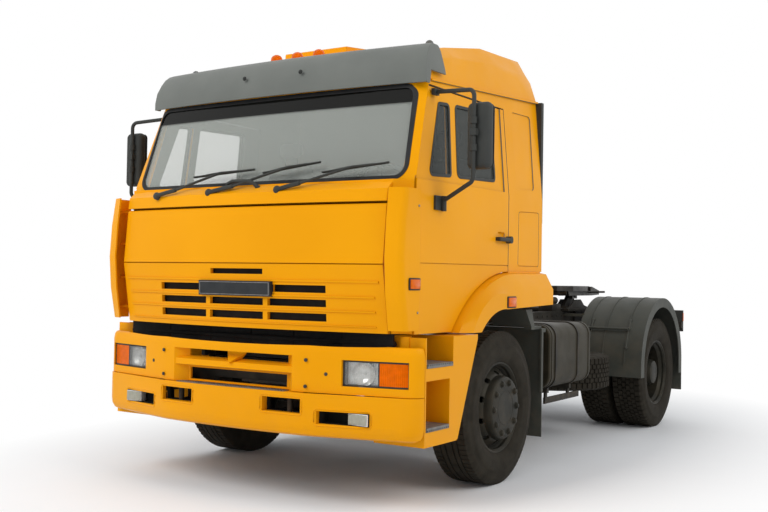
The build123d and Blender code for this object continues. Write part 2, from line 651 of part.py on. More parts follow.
def upper_bumper():
    solid = bumper_solid(UPPER_ROWS, UPPER_BACK, 0)
    inner_rows = [(BUMPER_SEAM, 0), (BUMPER_Z1 - 30, 0), (BUMPER_Z1 - 12, 10), (BUMPER_Z1 + 1, 14)]
    skin = solid - bumper_solid(inner_rows, UPPER_BACK, BUMPER_SKIN)
    skin -= block(-1230, 1230, -1140, -1100, 400, 1000)
    # recess in the middle, with a back wall and two openings
    funnel = loft([Plane.XZ.offset(1385) * outline([(-512, 660), (512, 660), (512, 890), (-512, 890)]),
                   Plane.XZ.offset(1292) * outline([(-404, 660), (404, 660), (404, 886), (-404, 886)])], ruled=True)
    pocket = loft([Plane.XZ.offset(1381) * outline([(-530, 677), (530, 677), (530, 906), (-530, 906)]),
                   Plane.XZ.offset(1276) * outline([(-422, 677), (422, 677), (422, 902), (-422, 902)])], ruled=True)
    pocket &= bumper_solid([(BUMPER_SEAM + 3, 0), (BUMPER_Z1, 0)], UPPER_BACK, 0)
    skin = (skin + pocket) - funnel
    for half, z0, z1 in NOSE_OPENINGS:
        skin -= block(-half, half, -1340, -1200, z0, z1)
    # rib across the recess with the small pointed nose
    rib = outline([(-1360, 786), (-1290, 775), (-1290, 838), (-1352, 822)])
    skin += along_x(rib, -470, 470) & bumper_solid([(BUMPER_SEAM + 3, 0), (BUMPER_Z1, 0)], UPPER_BACK, 8)
    nose = loft([Plane.XZ.offset(1374) * outline([(-6, 822), (6, 822), (1, 815), (-1, 815)]),
                 Plane.XZ.offset(1290) * outline([(-84, 890), (84, 890), (6, 806), (-6, 806)])], ruled=True)
    skin += nose & block(-200, 200, -1380, -1276, 800, 890)
    # room for the lid's lower edge when the cab is tilted
    lid = front_solid(LID_SECTIONS, -12) & block(-LID_X - 10, LID_X + 10, -1500, FIREWALL_Y0, PANEL_BOTTOM - 6, LID_SEAM)
    for angle in TILT_STEPS:
        skin -= lid.rotate(Axis((0, TILT_Y, TILT_Z), (1, 0, 0)), angle)
    x0, x1, z0, z1 = LAMP
    for side in (-1, 1):
        a, b = sorted((side * x0, side * x1))
        skin -= block(a, b, -1450, -1150, z0, z1)
    return skin


def lower_bumper():
    solid = bumper_solid(LOWER_ROWS, 0, 0)
    inner = bumper_solid([(BUMPER_Z0 - 1, 34)] + LOWER_ROWS[1:-1] + [(BUMPER_SEAM + 1, 0)], 0, BUMPER_SKIN)
    skin = solid - inner - block(-1230, 1230, -1140, -1100, 400, 1000)
    # ledge between the halves
    skin += (bumper_solid([(BUMPER_SEAM - 14, 0), (BUMPER_SEAM, 0)], 0, 0)
             - along_z(bumper_plan(0, 110), 600, 700)) & block(-560, 560, -1450, -1230, 600, 700)
    for (x0, x1, z0, z1), rim_y in ((FOG, -1255), (TOW, TOW_RIM_Y)):
        for side in (-1, 1):
            a, b = sorted((side * x0, side * x1))
            skin -= block(a, b, -1450, -1200, z0, z1)
            rim = block(a - 12, b + 12, -1420, rim_y, z0 - 12, z1 + 12) - block(a, b, -1450, -1200, z0, z1)
            skin += rim & bumper_solid([(BUMPER_Z0, 0), (BUMPER_SEAM, 0)], 0, 4)
    return skin


def headlamp():
    x0, x1, z0, z1 = LAMP
    a, b = x0 + LAMP_GAP, x1 - LAMP_GAP
    plan = outline([(a, -1281), (1130, -1216), (b, -1190), (b, -1140), (1130, -1130), (a, -1200)])
    unit = along_z(plan, z0 + LAMP_GAP, z1 - LAMP_GAP)
    return unit & bumper_solid([(700, 0), (900, 0)], UPPER_BACK, 6)


def fog_lamp():
    return block(800, FOG[1] - LAMP_GAP, -1303, -1240, FOG[2] + LAMP_GAP, FOG[3] - LAMP_GAP)


# ---------------------------------------------------------------- entry steps
STEP_X0, STEP_Y0 = 905, -1117
STEP_TOP, TREAD_THICK = 1014, 24
TREADS = [(840, STEP_TOP + 10, -791), (476, 767, -830)]   # floor z, roof z, rear y of each step


def step_box():
    side = outline([(STEP_Y0, 390), (-740, 390), (-722, 400), (-478, 985), (-478, STEP_TOP), (STEP_Y0, STEP_TOP)])
    body = along_x(side, STEP_X0, BODY_X - 5)
    hollow = offset(side, -12)
    body -= along_x(hollow, STEP_X0 - 1, STEP_X0 + 40)
    for floor, roof, rear in TREADS:
        body -= block(STEP_X0 + 52, BODY_X + 10, STEP_Y0 + 14, rear, floor, roof)
    body += block(1079, 1140, -1124, -1095, BUMPER_Z1 - 20, 1018)
    body += block(RAIL_X + SEAT, STEP_X0 + 60, -975, -915, 870, 930)
    return body


def tread(floor, roof, rear):
    return block(STEP_X0 + 60, BODY_X - 1, STEP_Y0 + 20, rear - 6, floor + SEAT, floor + TREAD_THICK)


def ledge_plate():
    face = bumper_plan(0, 8)
    plate = along_z(face, BUMPER_SEAM + SEAT, BUMPER_SEAM + 5) & block(-433, 433, -1450, -1322, 600, 700)
    return plate


# ---------------------------------------------------------------- frame
def rail(side):
    x0, x1 = sorted((side * RAIL_X, side * (RAIL_X - RAIL_FLANGE)))
    c0, c1 = sorted((side * (RAIL_X - RAIL_SKIN), side * (RAIL_X - RAIL_FLANGE - 1)))
    channel = block(c0, c1, RAIL_Y0 - 1, RAIL_Y1 + 1, RAIL_Z0 + RAIL_SKIN, RAIL_Z1 - RAIL_SKIN)
    return block(x0, x1, RAIL_Y0, RAIL_Y1, RAIL_Z0, RAIL_Z1) - channel


def frame():
    body = rail(1) + rail(-1)
    web = RAIL_X - RAIL_SKIN
    for y in CROSS_MEMBERS:
        cross = block(-web, web, y - 50, y + 50, RAIL_Z0 + RAIL_SKIN, RAIL_Z1 - RAIL_SKIN)
        body += cross - block(-RAIL_X, RAIL_X, y - 40, y + 51, RAIL_Z0 + 2 * RAIL_SKIN, RAIL_Z1 - 2 * RAIL_SKIN)
    body += block(-RAIL_X, RAIL_X, RAIL_Y1 - 40, RAIL_Y1, RAIL_Z0, RAIL_Z1)
    body += block(-1180, 1180, RAIL_Y1, RAIL_Y1 + LAMP_BAR_Y, 900, 960)
    body += block(-RAIL_X, RAIL_X, RAIL_Y0, RAIL_Y0 + 60, 700, RAIL_Z0 + RAIL_SKIN)
    # bumper carrier with an arm to each half of the bumper, tow pockets and tow pins
    body += block(-760, 760, RAIL_Y0 - 100, RAIL_Y0, 700, 770)
    for side in (-1, 1):
        x0, x1 = sorted((side * 585, side * 635))
        body += block(x0, x1, -1135, RAIL_Y0, 600, 770)
        arm_low = block(x0, x1, -1400, -1131, 600, BUMPER_SEAM - 2)
        arm_high = block(x0, x1, -1400, -1131, BUMPER_SEAM - 2, 770)
        body += arm_low & along_z(bumper_plan(0, BUMPER_SKIN + SEAT), 500, 900)
        body += arm_high & along_z(bumper_plan(UPPER_BACK, BUMPER_SKIN + SEAT), 500, 900)
        x0, x1 = sorted((side * 300, side * 540))
        body += block(x0, x1, TOW_RIM_Y + 3, RAIL_Y0 - 60, 540, 552)
        body += block(x0, x1, TOW_RIM_Y + 3, RAIL_Y0 - 60, 641, 653)
        body += block(x0, x1, RAIL_Y0 - 100, RAIL_Y0 - 60, 540, 710)
        body += Pos(side * 440, -1320, 597) * Cylinder(17, 100)
    # cab tilt brackets and rear cab rests
    for side in (-1, 1):
        x0, x1 = sorted((side * RAIL_X, side * (RAIL_X + 30)))
        body += block(x0, x1, TILT_Y - 30, -990, 830, TILT_Z) + rod((x0, TILT_Y, TILT_Z), (x1, TILT_Y, TILT_Z), 30)
        body += rod((side * ARM_X0, TILT_Y, TILT_Z), (side * (RAIL_X + 10), TILT_Y, TILT_Z), TILT_R)
        r0, r1 = sorted((side * 330, side * RAIL_X))
        body += block(r0, r1, 600, 660, RAIL_Z1, CAB_BOTTOM - SEAT)
    return body


# ---------------------------------------------------------------- engine, gearbox, radiator, shaft
GEARBOX_END = 1150


def power_unit():
    block_solid = block(-300, 300, -900, 350, 650, 1420)
    gearbox = loft([Plane.XZ.offset(-350) * outline([(-250, 650), (250, 650), (250, 1050), (-250, 1050)], 60),
                    Plane.XZ.offset(-GEARBOX_END) * outline([(-130, 700), (130, 700), (130, 960), (-130, 960)], 60)], ruled=True)
    radiator = block(-420, 420, -1050, -950, 1080, 1390) + block(-300, 300, -1050, -900, 850, 1080)
    return block_solid + gearbox + radiator


DIFF_FRONT = WHEELBASE - 300


def prop_shaft():
    start, end = (0, GEARBOX_END - 100, 847), (0, DIFF_FRONT + 100, AXLE_Z - 17)
    shaft = rod(start, end, 50)
    return shaft & block(-60, 60, GEARBOX_END + SEAT, DIFF_FRONT - SEAT, 300, 1000)


# ---------------------------------------------------------------- axles and springs
def front_axle():
    end = KINGPIN_X - 60
    side = [(-end, 470), (-620, 440), (-520, 400), (520, 400), (620, 440), (end, 470), (end, 544), (620, 544), (500, 490),
            (-500, 490), (-620, 544), (-end, 544)]
    beam = along_y(outline(side), -50, 50)
    for s in (-1, 1):
        beam += Pos(s * KINGPIN_X, 0, AXLE_Z) * Cylinder(62, 78)
        beam -= Pos(s * KINGPIN_X, 0, AXLE_Z) * Cylinder(KINGPIN_R + RUN_CLEAR, 300)
    return beam


FRONT_SPRING_X, FRONT_SPRING_Z, FRONT_SPRING_HALF = 370, 490, 700
REAR_SPRING_X, REAR_SPRING_Z, REAR_SPRING_HALF = 468, 589, 690


def leaf_pack(x, y, z, half, leaves, thick):
    pack = None
    for k in range(leaves):
        reach = half * (1 - k / (leaves + 2))
        low = z + thick * (leaves - 1 - k)
        leaf = block(x - 40, x + 40, y - reach, y + reach, low, low + thick)
        pack = leaf if pack is None else pack + leaf
    return pack


def springs():
    front = leaf_pack(FRONT_SPRING_X, 0, FRONT_SPRING_Z + SEAT, FRONT_SPRING_HALF, 4, 15)
    front_top = FRONT_SPRING_Z + SEAT + 60
    rear = leaf_pack(REAR_SPRING_X, WHEELBASE, REAR_SPRING_Z + SEAT, REAR_SPRING_HALF, 7, 15)
    rear_top = REAR_SPRING_Z + SEAT + 105
    for end in (-1, 1):
        y0, y1 = sorted((end * FRONT_SPRING_HALF, end * (FRONT_SPRING_HALF - 70)))
        front += block(FRONT_SPRING_X - 40, RAIL_X, y0, y1, front_top - 15, RAIL_Z0 - SEAT)
        y0, y1 = sorted((WHEELBASE + end * REAR_SPRING_HALF, WHEELBASE + end * (REAR_SPRING_HALF - 70)))
        rear += block(REAR_SPRING_X - 40, REAR_SPRING_X + 40, y0, y1, rear_top - 15, RAIL_Z0 + 90)
        rear += block(RAIL_X + SEAT, REAR_SPRING_X + 40, y0, y1, RAIL_Z0 + 10, RAIL_Z0 + 90)
    front += block(FRONT_SPRING_X - 46, FRONT_SPRING_X + 46, -70, 70, front_top - 30, front_top + 20)
    rear += block(REAR_SPRING_X - 46, REAR_SPRING_X + 46, WHEELBASE - 90, WHEELBASE + 90, rear_top - 30, rear_top + 20)
    return both(front, rear)


AXLE_TUBE_R, AXLE_TUBE_END = 82, 834


def rear_axle():
    tube = rod((-AXLE_TUBE_END, WHEELBASE, AXLE_Z), (AXLE_TUBE_END, WHEELBASE, AXLE_Z), AXLE_TUBE_R)
    bowl = Pos(0, WHEELBASE, AXLE_Z) * Sphere(215)
    tube += bowl & block(-190, 190, DIFF_FRONT, WHEELBASE + 300, 200, 800)
    tube += rod((0, DIFF_FRONT, AXLE_Z), (0, WHEELBASE, AXLE_Z), 90)
    for side in (-1, 1):
        tube += rod((side * 600, WHEELBASE, AXLE_Z), (side * 1120, WHEELBASE, AXLE_Z), SPINDLE_R)
        x0, x1 = sorted((side * (REAR_SPRING_X - 46), side * (REAR_SPRING_X + 46)))
        tube += block(x0, x1, WHEELBASE - 70, WHEELBASE + 70, AXLE_Z, REAR_SPRING_Z)
    return tube


# ---------------------------------------------------------------- wheels
HALF_TYRE = TYRE_W / 2


def tyre(x):
    w = HALF_TYRE
    half = [(w - 38, TYRE_BEAD_R), (w - 24, TYRE_BEAD_R), (w - 16, TYRE_BEAD_R + 10), (w - 6, 350), (w, 405), (w - 6, 458), (w - 26, 494), (w - 52, TYRE_R)]
    profile = [(x - a, r) for a, r in half] + [(x + a, r) for a, r in reversed(half)]
    return turned(profile)


def rim_points(x):
    """Barrel of one rim, from edge to edge and back along its inside."""
    w, s = HALF_TYRE - 26, RIM_SKIN
    top = [(w, RIM_R), (w - 10, RIM_R), (w - 14, RIM_R - 10), (w - 30, RIM_R - 14), (w - 60, RIM_WELL_R)]
    low = [(w, RIM_R - s), (w - 16, RIM_R - 22), (w - 34, RIM_R - 14 - s), (w - 60, RIM_WELL_R - s)]
    left = [(x - a, r) for a, r in low] + [(x + a, r) for a, r in reversed(low)]
    return left + [(x + a, r) for a, r in top] + [(x - a, r) for a, r in reversed(top)]


def front_wheel():
    x = FRONT_WHEEL_X
    wheel = turned(rim_points(x))
    disc = [(x + 46, RIM_WELL_R - 2), (x + 60, RIM_WELL_R - 2), (x + 84, 242), (x + 112, 222), (x + 128, 190), (x + 132, 150),
            (x + 132, 60), (x + 116, 60), (x + 116, 184), (x + 102, 210), (x + 74, 230)]
    wheel += turned(disc)
    hub_in = KINGPIN_X + 78
    bore = SPINDLE_R + RUN_CLEAR
    hub = [(hub_in, bore), (hub_in, 190), (x + 40, 190), (x + 50, HUB_R), (x + 117, HUB_R), (x + 117, bore)]
    wheel += turned(hub)
    cover = [(x + 117, bore), (x + 117, 132), (x + 150, 120), (x + 160, 96), (x + 166, 90), (x + 166, 0), (x + 126, 0), (x + 126, bore)]
    wheel += turned(cover)
    for k in range(10):
        spin = Pos(0, 0, AXLE_Z) * Rot(36 * k, 0, 0)
        wheel -= spin * Pos(x + 90, 0, 224) * Rot(0, 65, 0) * Cylinder(21, 90)
        wheel += spin * Pos(x + 142, 0, 168) * Rot(0, 90, 0) * extrude(RegularPolygon(17, 6), 24, both=True)
    return wheel


def rear_wheels():
    x = REAR_WHEEL_X
    inner = x - TWIN_SPACING
    mid = x - TWIN_SPACING / 2
    wheels = turned(rim_points(x)) + turned(rim_points(inner))
    # each dish runs from its rim's well to the joint between the twins
    outer_dish = [(x - 60, RIM_WELL_R - 4), (x - 40, RIM_WELL_R - 4), (x - 74, 236), (mid + 34, 216), (mid + 15, 190), (mid + 15, 60),
                  (mid - 1, 60), (mid - 1, 200), (mid + 18, 226), (x - 84, 250)]
    wheels += turned(outer_dish)
    inner_dish = [(2 * mid - a, r) for a, r in outer_dish]
    wheels += turned(inner_dish)
    bore = SPINDLE_R + RUN_CLEAR
    hub = [(mid - 16, bore), (mid - 16, 185), (mid + 14, 185), (mid + 14, 128), (x + 60, 118), (x + 96, 104), (x + 104, 80), (x + 104, 0), (x + 95, 0), (x + 95, bore)]
    wheels += turned(hub)
    for k in range(10):
        spin = Pos(0, 0, AXLE_Z) * Rot(36 * k, 0, 0)
        wheels += spin * Pos(mid + 24, 0, 168) * Rot(0, 90, 0) * extrude(RegularPolygon(17, 6), 26, both=True)
    return Pos(0, WHEELBASE, 0) * wheels


# ---------------------------------------------------------------- knuckles and tie rod
SPINDLE_END = FRONT_WHEEL_X + 120
FORK_GAP = 39 + 4
ARM_Y, ARM_X = 230, KINGPIN_X
TIE_Z, TIE_PIN_R = AXLE_Z - 126, 14


def knuckle():
    x0, x1 = KINGPIN_X - 45, KINGPIN_X + 70
    fork = block(x0, x1, -45, 45, AXLE_Z - 100, AXLE_Z - FORK_GAP) + block(x0, x1, -45, 45, AXLE_Z + FORK_GAP, AXLE_Z + 100)
    fork += block(KINGPIN_X + 66, KINGPIN_X + 73, -90, 90, AXLE_Z - 100, AXLE_Z + 100)
    fork += rod((KINGPIN_X + 68, 0, AXLE_Z), (SPINDLE_END, 0, AXLE_Z), SPINDLE_R)
    fork += Pos(KINGPIN_X, 0, AXLE_Z) * Cylinder(KINGPIN_R, 220)
    fork += block(ARM_X - 22, ARM_X + 22, 30, ARM_Y + 24, AXLE_Z - 100, AXLE_Z - 76)
    fork += Pos(ARM_X, ARM_Y, AXLE_Z - 106) * Cylinder(TIE_PIN_R, 60)
    return fork


def tie_rod():
    tie = rod((-ARM_X + 24, ARM_Y, TIE_Z), (ARM_X - 24, ARM_Y, TIE_Z), 15)
    for side in (-1, 1):
        tie += Pos(side * ARM_X, ARM_Y, TIE_Z) * Cylinder(30, 24)
        tie -= Pos(side * ARM_X, ARM_Y, TIE_Z) * Cylinder(TIE_PIN_R + RUN_CLEAR, 60)
    return tie


# ---------------------------------------------------------------- fifth wheel
FIFTH_Y, FIFTH_Z, PLATE_SKIN = 3250, 1307, 50
PIVOT_Z, PIVOT_R = 1222, 22
KING_BORE_R = 25.4
PEDESTAL_X = 330


def fifth_wheel_base():
    base = block(-460, 460, 2880, 3620, RAIL_Z1 + SEAT, RAIL_Z1 + 22)
    for side in (-1, 1):
        x0, x1 = sorted((side * (PEDESTAL_X - 30), side * PEDESTAL_X))
        foot = [(FIFTH_Y - 170, RAIL_Z1 + 20), (FIFTH_Y + 170, RAIL_Z1 + 20), (FIFTH_Y + 34, PIVOT_Z + 18),
                (FIFTH_Y - 34, PIVOT_Z + 18)]
        base += along_x(outline(foot), x0, x1)
        base += rod((side * (PEDESTAL_X - 30), FIFTH_Y, PIVOT_Z), (side * (PEDESTAL_X + 50), FIFTH_Y, PIVOT_Z), PIVOT_R)
        w0, w1 = sorted((side * (RAIL_X + SEAT), side * (RAIL_X + 14)))
        base += block(w0, w1, FIFTH_Y - 95, FIFTH_Y + 90, RAIL_Z1 - 120, RAIL_Z1 + 21)
    return base


def fifth_wheel():
    half = [(450, 3020), (450, 3330), (380, 3620), (300, 3700), (150, 3700), (60, 3330), (0, 3330)]
    points = [(330, 2910)] + half
    plan = outline(points + [(-x, y) for x, y in reversed(points[:-1])])
    plate = along_z(plan, FIFTH_Z - PLATE_SKIN, FIFTH_Z)
    ramps = block(-460, 460, 3560, 3710, FIFTH_Z - 80, FIFTH_Z - PLATE_SKIN) & along_z(plan, FIFTH_Z - 80, FIFTH_Z)
    plate += ramps
    plate += block(-90, 90, FIFTH_Y - 110, FIFTH_Y + 79, FIFTH_Z - 70, FIFTH_Z - PLATE_SKIN)
    plate -= Pos(0, FIFTH_Y, FIFTH_Z) * Cylinder(KING_BORE_R, 200)
    for side in (-1, 1):
        x0, x1 = sorted((side * (PEDESTAL_X + 10), side * (PEDESTAL_X + 44)))
        ear = block(x0, x1, FIFTH_Y - 60, FIFTH_Y + 60, PIVOT_Z - 38, FIFTH_Z - 20)
        plate += ear - rod((x0 - 5, FIFTH_Y, PIVOT_Z), (x1 + 5, FIFTH_Y, PIVOT_Z), PIVOT_R + RUN_CLEAR)
    # the handle that opens the jaw
    plate += rod((250, 3440, FIFTH_Z - 66), (560, 3575, FIFTH_Z - 54), 10)
    plate += block(240, 264, 3420, 3460, FIFTH_Z - 80, FIFTH_Z - PLATE_SKIN)
    return plate


# ---------------------------------------------------------------- mudguards and flaps
GUARD_Y, GUARD_Z = WHEELBASE - 24, 597
GUARD_R, GUARD_LIP_R, GUARD_SKIN = 612, 525, 8
GUARD_X0, GUARD_X1 = 602, 1225
GUARD_RIDGES = (690, 858, 1065)
FLAP_X, FLAP_Y = 1206, 606


def guard_ring(outer, inner, x0, x1, z0, z1):
    """A stretch of the guard's arch, between two heights."""
    return tube_x(outer, inner, x0, x1, GUARD_Y, GUARD_Z) & block(x0 - 1, x1 + 1, GUARD_Y - 700, GUARD_Y + 700, z0, z1)


def guard_wall(side, low, z1):
    """The straight wall in front of (-1) or behind (+1) the tyres, with the lip along its edge."""
    y0, y1 = sorted((GUARD_Y + side * GUARD_R, GUARD_Y + side * (GUARD_R - GUARD_SKIN)))
    l0, l1 = sorted((GUARD_Y + side * GUARD_R, GUARD_Y + side * GUARD_LIP_R))
    return block(GUARD_X0, GUARD_X1, y0, y1, low, z1) + block(GUARD_X1 - GUARD_SKIN, GUARD_X1, l0, l1, low, z1)


def rear_guard():
    top = GUARD_Z + GUARD_R + 10
    guard = guard_ring(GUARD_R, GUARD_R - GUARD_SKIN, GUARD_X0, GUARD_X1, GUARD_Z, top)
    guard += guard_ring(GUARD_R, GUARD_LIP_R, GUARD_X1 - GUARD_SKIN, GUARD_X1, GUARD_Z, top)
    guard += guard_wall(-1, 500, GUARD_Z) + guard_wall(1, 470, GUARD_Z)
    for x in GUARD_RIDGES:
        guard += guard_ring(GUARD_R + 5, GUARD_R - GUARD_SKIN, x - 6, x + 6, GUARD_Z, top)
    # the rubber flap behind
    guard += block(GUARD_X0, GUARD_X1, GUARD_Y + GUARD_R - GUARD_SKIN, GUARD_Y + GUARD_R, 300, 471)
    # stays from the frame
    for y in (GUARD_Y - 400, GUARD_Y + 44, GUARD_Y + 500):
        z = GUARD_Z + math.sqrt(GUARD_R ** 2 - (y - GUARD_Y) ** 2) - 4
        low, high = min(z - 6, 1022), max(z, 1048)
        guard += block(RAIL_X + SEAT, GUARD_X0 + 6, y - 20, y + 20, 1022, 1048)
        guard += block(GUARD_X0 - 8, GUARD_X0 + 6, y - 20, y + 20, low, high)
    # rod on straps across the front of the arch
    bar_z = 930
    bar_y = GUARD_Y - math.sqrt(GUARD_R ** 2 - (bar_z - GUARD_Z) ** 2)
    guard += rod((GUARD_RIDGES[0], bar_y - 34, bar_z), (1080, bar_y - 34, bar_z), 11)
    for x in (GUARD_RIDGES[0], 1080):
        guard += rod((x, bar_y - 34, bar_z), (x, bar_y + 4, bar_z), 11)
        guard += guard_ring(GUARD_R + 4, GUARD_R - GUARD_SKIN, x - 14, x + 14, 760, 990) & block(
            x - 20, x + 20, GUARD_Y - 700, GUARD_Y, 700, 1000)
    return guard


def front_flap():
    """Flap behind the front wheel, hung from a bar, with the end of the wheel-arch liner above it."""
    flap = block(850, FLAP_X - 6, FLAP_Y, FLAP_Y + 8, 240, 1009)
    flap += block(FLAP_X - 14, FLAP_X, FLAP_Y - 22, FLAP_Y + 8, 560, 1012)
    flap += block(RAIL_X + SEAT, FLAP_X, FLAP_Y + 6, FLAP_Y + 46, 985, 1012)
    side = [(365, 1150), (470, 1150), (518, 1028), (465, 1028)]
    flap += along_x(outline(side), 1172, 1180)
    flap += along_x(outline([(365, 1150), (373, 1150), (473, 1028), (465, 1028)]), 880, 1180)
    flap += block(1120, 1180, 465, FLAP_Y + 30, 1006, 1029)
    return flap


# ---------------------------------------------------------------- tank, boxes, spare wheel
TANK = [(620, 560), (1180, 560), (1180, 1030), (620, 1030)]
TANK_ROUND, TANK_Y0, TANK_Y1 = 95, 790, 1590
STRAP_SKIN, STRAP_HALF = 7, 17
TANK_RIBS = (835, 1555)
STRAPS = (904, 1328)


def fuel_tank():
    face = outline(TANK, TANK_ROUND)
    tank = along_y(face, TANK_Y0, TANK_Y1)
    tank = fillet(tank.edges().filter_by(GeomType.LINE, reverse=True).group_by(Axis.Y)[0], 14)
    for y in TANK_RIBS:
        tank += along_y(offset(face, 4), y - 10, y + 10)
    return tank


def tank_strap(y):
    face = outline(TANK, TANK_ROUND)
    y0, y1 = y - STRAP_HALF, y + STRAP_HALF
    strap = along_y(offset(face, STRAP_SKIN), y0, y1) - along_y(offset(face, SEAT), y0 - 1, y1 + 1)
    strap += block(RAIL_X + SEAT, TANK[0][0] - 3, y0, y1, 640, RAIL_Z1 - 20)
    strap += block(RAIL_X + 150, 1120, y0, y1, 520, TANK[0][1] - 3)
    return strap


def tank_bar():
    """Bar hung under the tank from both strap brackets."""
    bar = block(1092, 1108, 880, 1540, 440, 485)
    for y in STRAPS:
        bar += block(1092, 1108, y - STRAP_HALF, y + STRAP_HALF, 484, 530)
    return bar


SPARE_X, SPARE_Y, SPARE_Z = 605, 2125, 586


def spare(shape):
    return Pos(SPARE_X, SPARE_Y, SPARE_Z) * Rot(0, -90, 0) * (Pos(0, 0, -AXLE_Z) * shape)


def spare_carrier():
    top = SPARE_Z + HALF_TYRE
    low = SPARE_Z + HALF_TYRE - 26
    arm = block(SPARE_X - 40, SPARE_X + 40, SPARE_Y - 283, SPARE_Y + 283, low - 12, low)
    arm = arm & Pos(SPARE_X, SPARE_Y, low) * Cylinder(284, 100)
    arm += block(SPARE_X - 36, SPARE_X + 36, SPARE_Y - 36, SPARE_Y + 36, low - 12, top + 40)
    arm += block(RAIL_X + SEAT, SPARE_X + 36, SPARE_Y - 60, SPARE_Y + 60, top + 28, top + 44)
    arm += block(RAIL_X + SEAT, RAIL_X + 12, SPARE_Y - 60, SPARE_Y + 60, top + 28, RAIL_Z1 - 30)
    return arm


def battery_box():
    box = rounded_block(-1150, -560, 850, 1450, 600, 1040, 16)
    box += block(-600, -RAIL_X - SEAT, 900, 960, 860, 1000) + block(-600, -RAIL_X - SEAT, 1340, 1400, 860, 1000)
    return box


def air_tanks():
    tank = fillet(rod((-600, 1520, 770), (-600, 2300, 770), 118).edges(), 30)
    for y in (1640, 2180):
        tank += block(-600, -RAIL_X - SEAT, y - 25, y + 25, 870, 910)
    return tank


def exhaust():
    body = fillet(rod((-965, 1520, 700), (-965, 2250, 700), 150).edges(), 20)
    for y in (1640, 2110):
        body += block(-1000, -RAIL_X - SEAT, y + 40, y + 90, 985, 1010) + block(-1000, -930, y + 40, y + 90, 840, 1010)
    body += rod((-965, 2250, 700), (-965, 2380, 700), 50)
    return body


# ---------------------------------------------------------------- wipers, lamps, interior
# Wiper pivots and blades. Columns: pivot x, pivot z, blade x0, z0, x1, z1 on the glass.
WIPERS = [(-751, 1872, -522, 1998, -20, 2030), (-288, 1880, 66, 2002, 500, 2052), (271, 1880, 530, 1986, 994, 2026)]


def wiper(px, pz, x0, z0, x1, z1):
    glass_y = -1152
    pivot_y = -1262
    mid_x, mid_z = (x0 + x1) / 2, (z0 + z1) / 2
    blade = rod((x0, glass_y, z0), (x1, glass_y + 18, z1), 8)
    arm = rod((px, pivot_y, pz), (px + 0.35 * (mid_x - px), pivot_y + 14, pz + 26), 12)
    arm += rod((px + 0.35 * (mid_x - px), pivot_y + 14, pz + 26), (mid_x, glass_y - 12, mid_z + 4), 7)
    arm += rod((px, pivot_y - 14, pz), (px, pivot_y + 60, pz), 17)
    arm += rod((mid_x, glass_y - 12, mid_z + 4), (mid_x, glass_y + 9, mid_z), 7)
    return arm + blade


def side_lamps():
    arch_lamp = rounded_block(BODY_X - 4, BODY_X + 12, -73, 45, 1176, 1240, 5) - block(0, BODY_X, -100, 100, 1100, 1300)
    vane_lamp = block(VANE_X - 26, VANE_X + 12, VANE_REAR - 118, VANE_REAR, 1290, 1352)
    vane_lamp -= vane_filler()
    return [arch_lamp, vane_lamp]


def roof_lamps():
    lamps = []
    for x in (-178, 0, 178):
        lamps.append(rounded_block(x - 48, x + 48, -775, -715, 2743, 2855, 10) - roof_solid(0))
    corner = Pos(984, -680, 2774) * Cylinder(30, 80) + Pos(984, -680, 2814) * Sphere(30)
    lamps += both(corner - roof_solid(0))
    return lamps


def seats():
    base = CAB_BOTTOM + FLOOR_SKIN + SEAT
    seat = block(470, 930, -420, 60, base, 1760) + rounded_block(450, 950, -440, 100, 1700, 1860, 30)
    seat += rounded_block(460, 940, 30, 160, 1830, 2420, 40)
    bunk = block(-1080, 1080, 260, CAB_REAR - CAB_SKIN - SEAT, TUNNEL_Z + 40, TUNNEL_Z + 190)
    bunk += block(-1080, 1080, 260, 300, base, TUNNEL_Z + 60) - block(-TUNNEL_X - 5, TUNNEL_X + 5, 200, 400, 0, TUNNEL_Z + 5)
    return both(seat) + [bunk]


def dashboard():
    front = FIREWALL_Y1 + SEAT
    side = outline([(front, 1640), (-820, 1640), (-790, 1720), (-850, 1880), (-1010, 1930), (front, 1930)])
    half = DOOR_INNER - MOVE_GAP
    dash = along_x(side, -half, half) & cab_body(DOOR_SKIN + 2 * MOVE_GAP)
    column = rod((690, -900, 1700), (690, -640, 1890), 34)
    wheel = Pos(690, -650, 1885) * Rot(-54, 0, 0) * Torus(225, 15)
    spokes = Pos(690, -650, 1885) * Rot(-54, 0, 0) * (Box(440, 34, 14) + Box(34, 440, 14))
    return dash + column + wheel + spokes


def snorkel():
    duct = block(975, 1135, CAB_REAR + SEAT, CAB_REAR + 38, 1770, 2650)
    duct += block(985, 1060, CAB_REAR + SEAT, CAB_REAR + 34, 1450, 1771)
    return duct


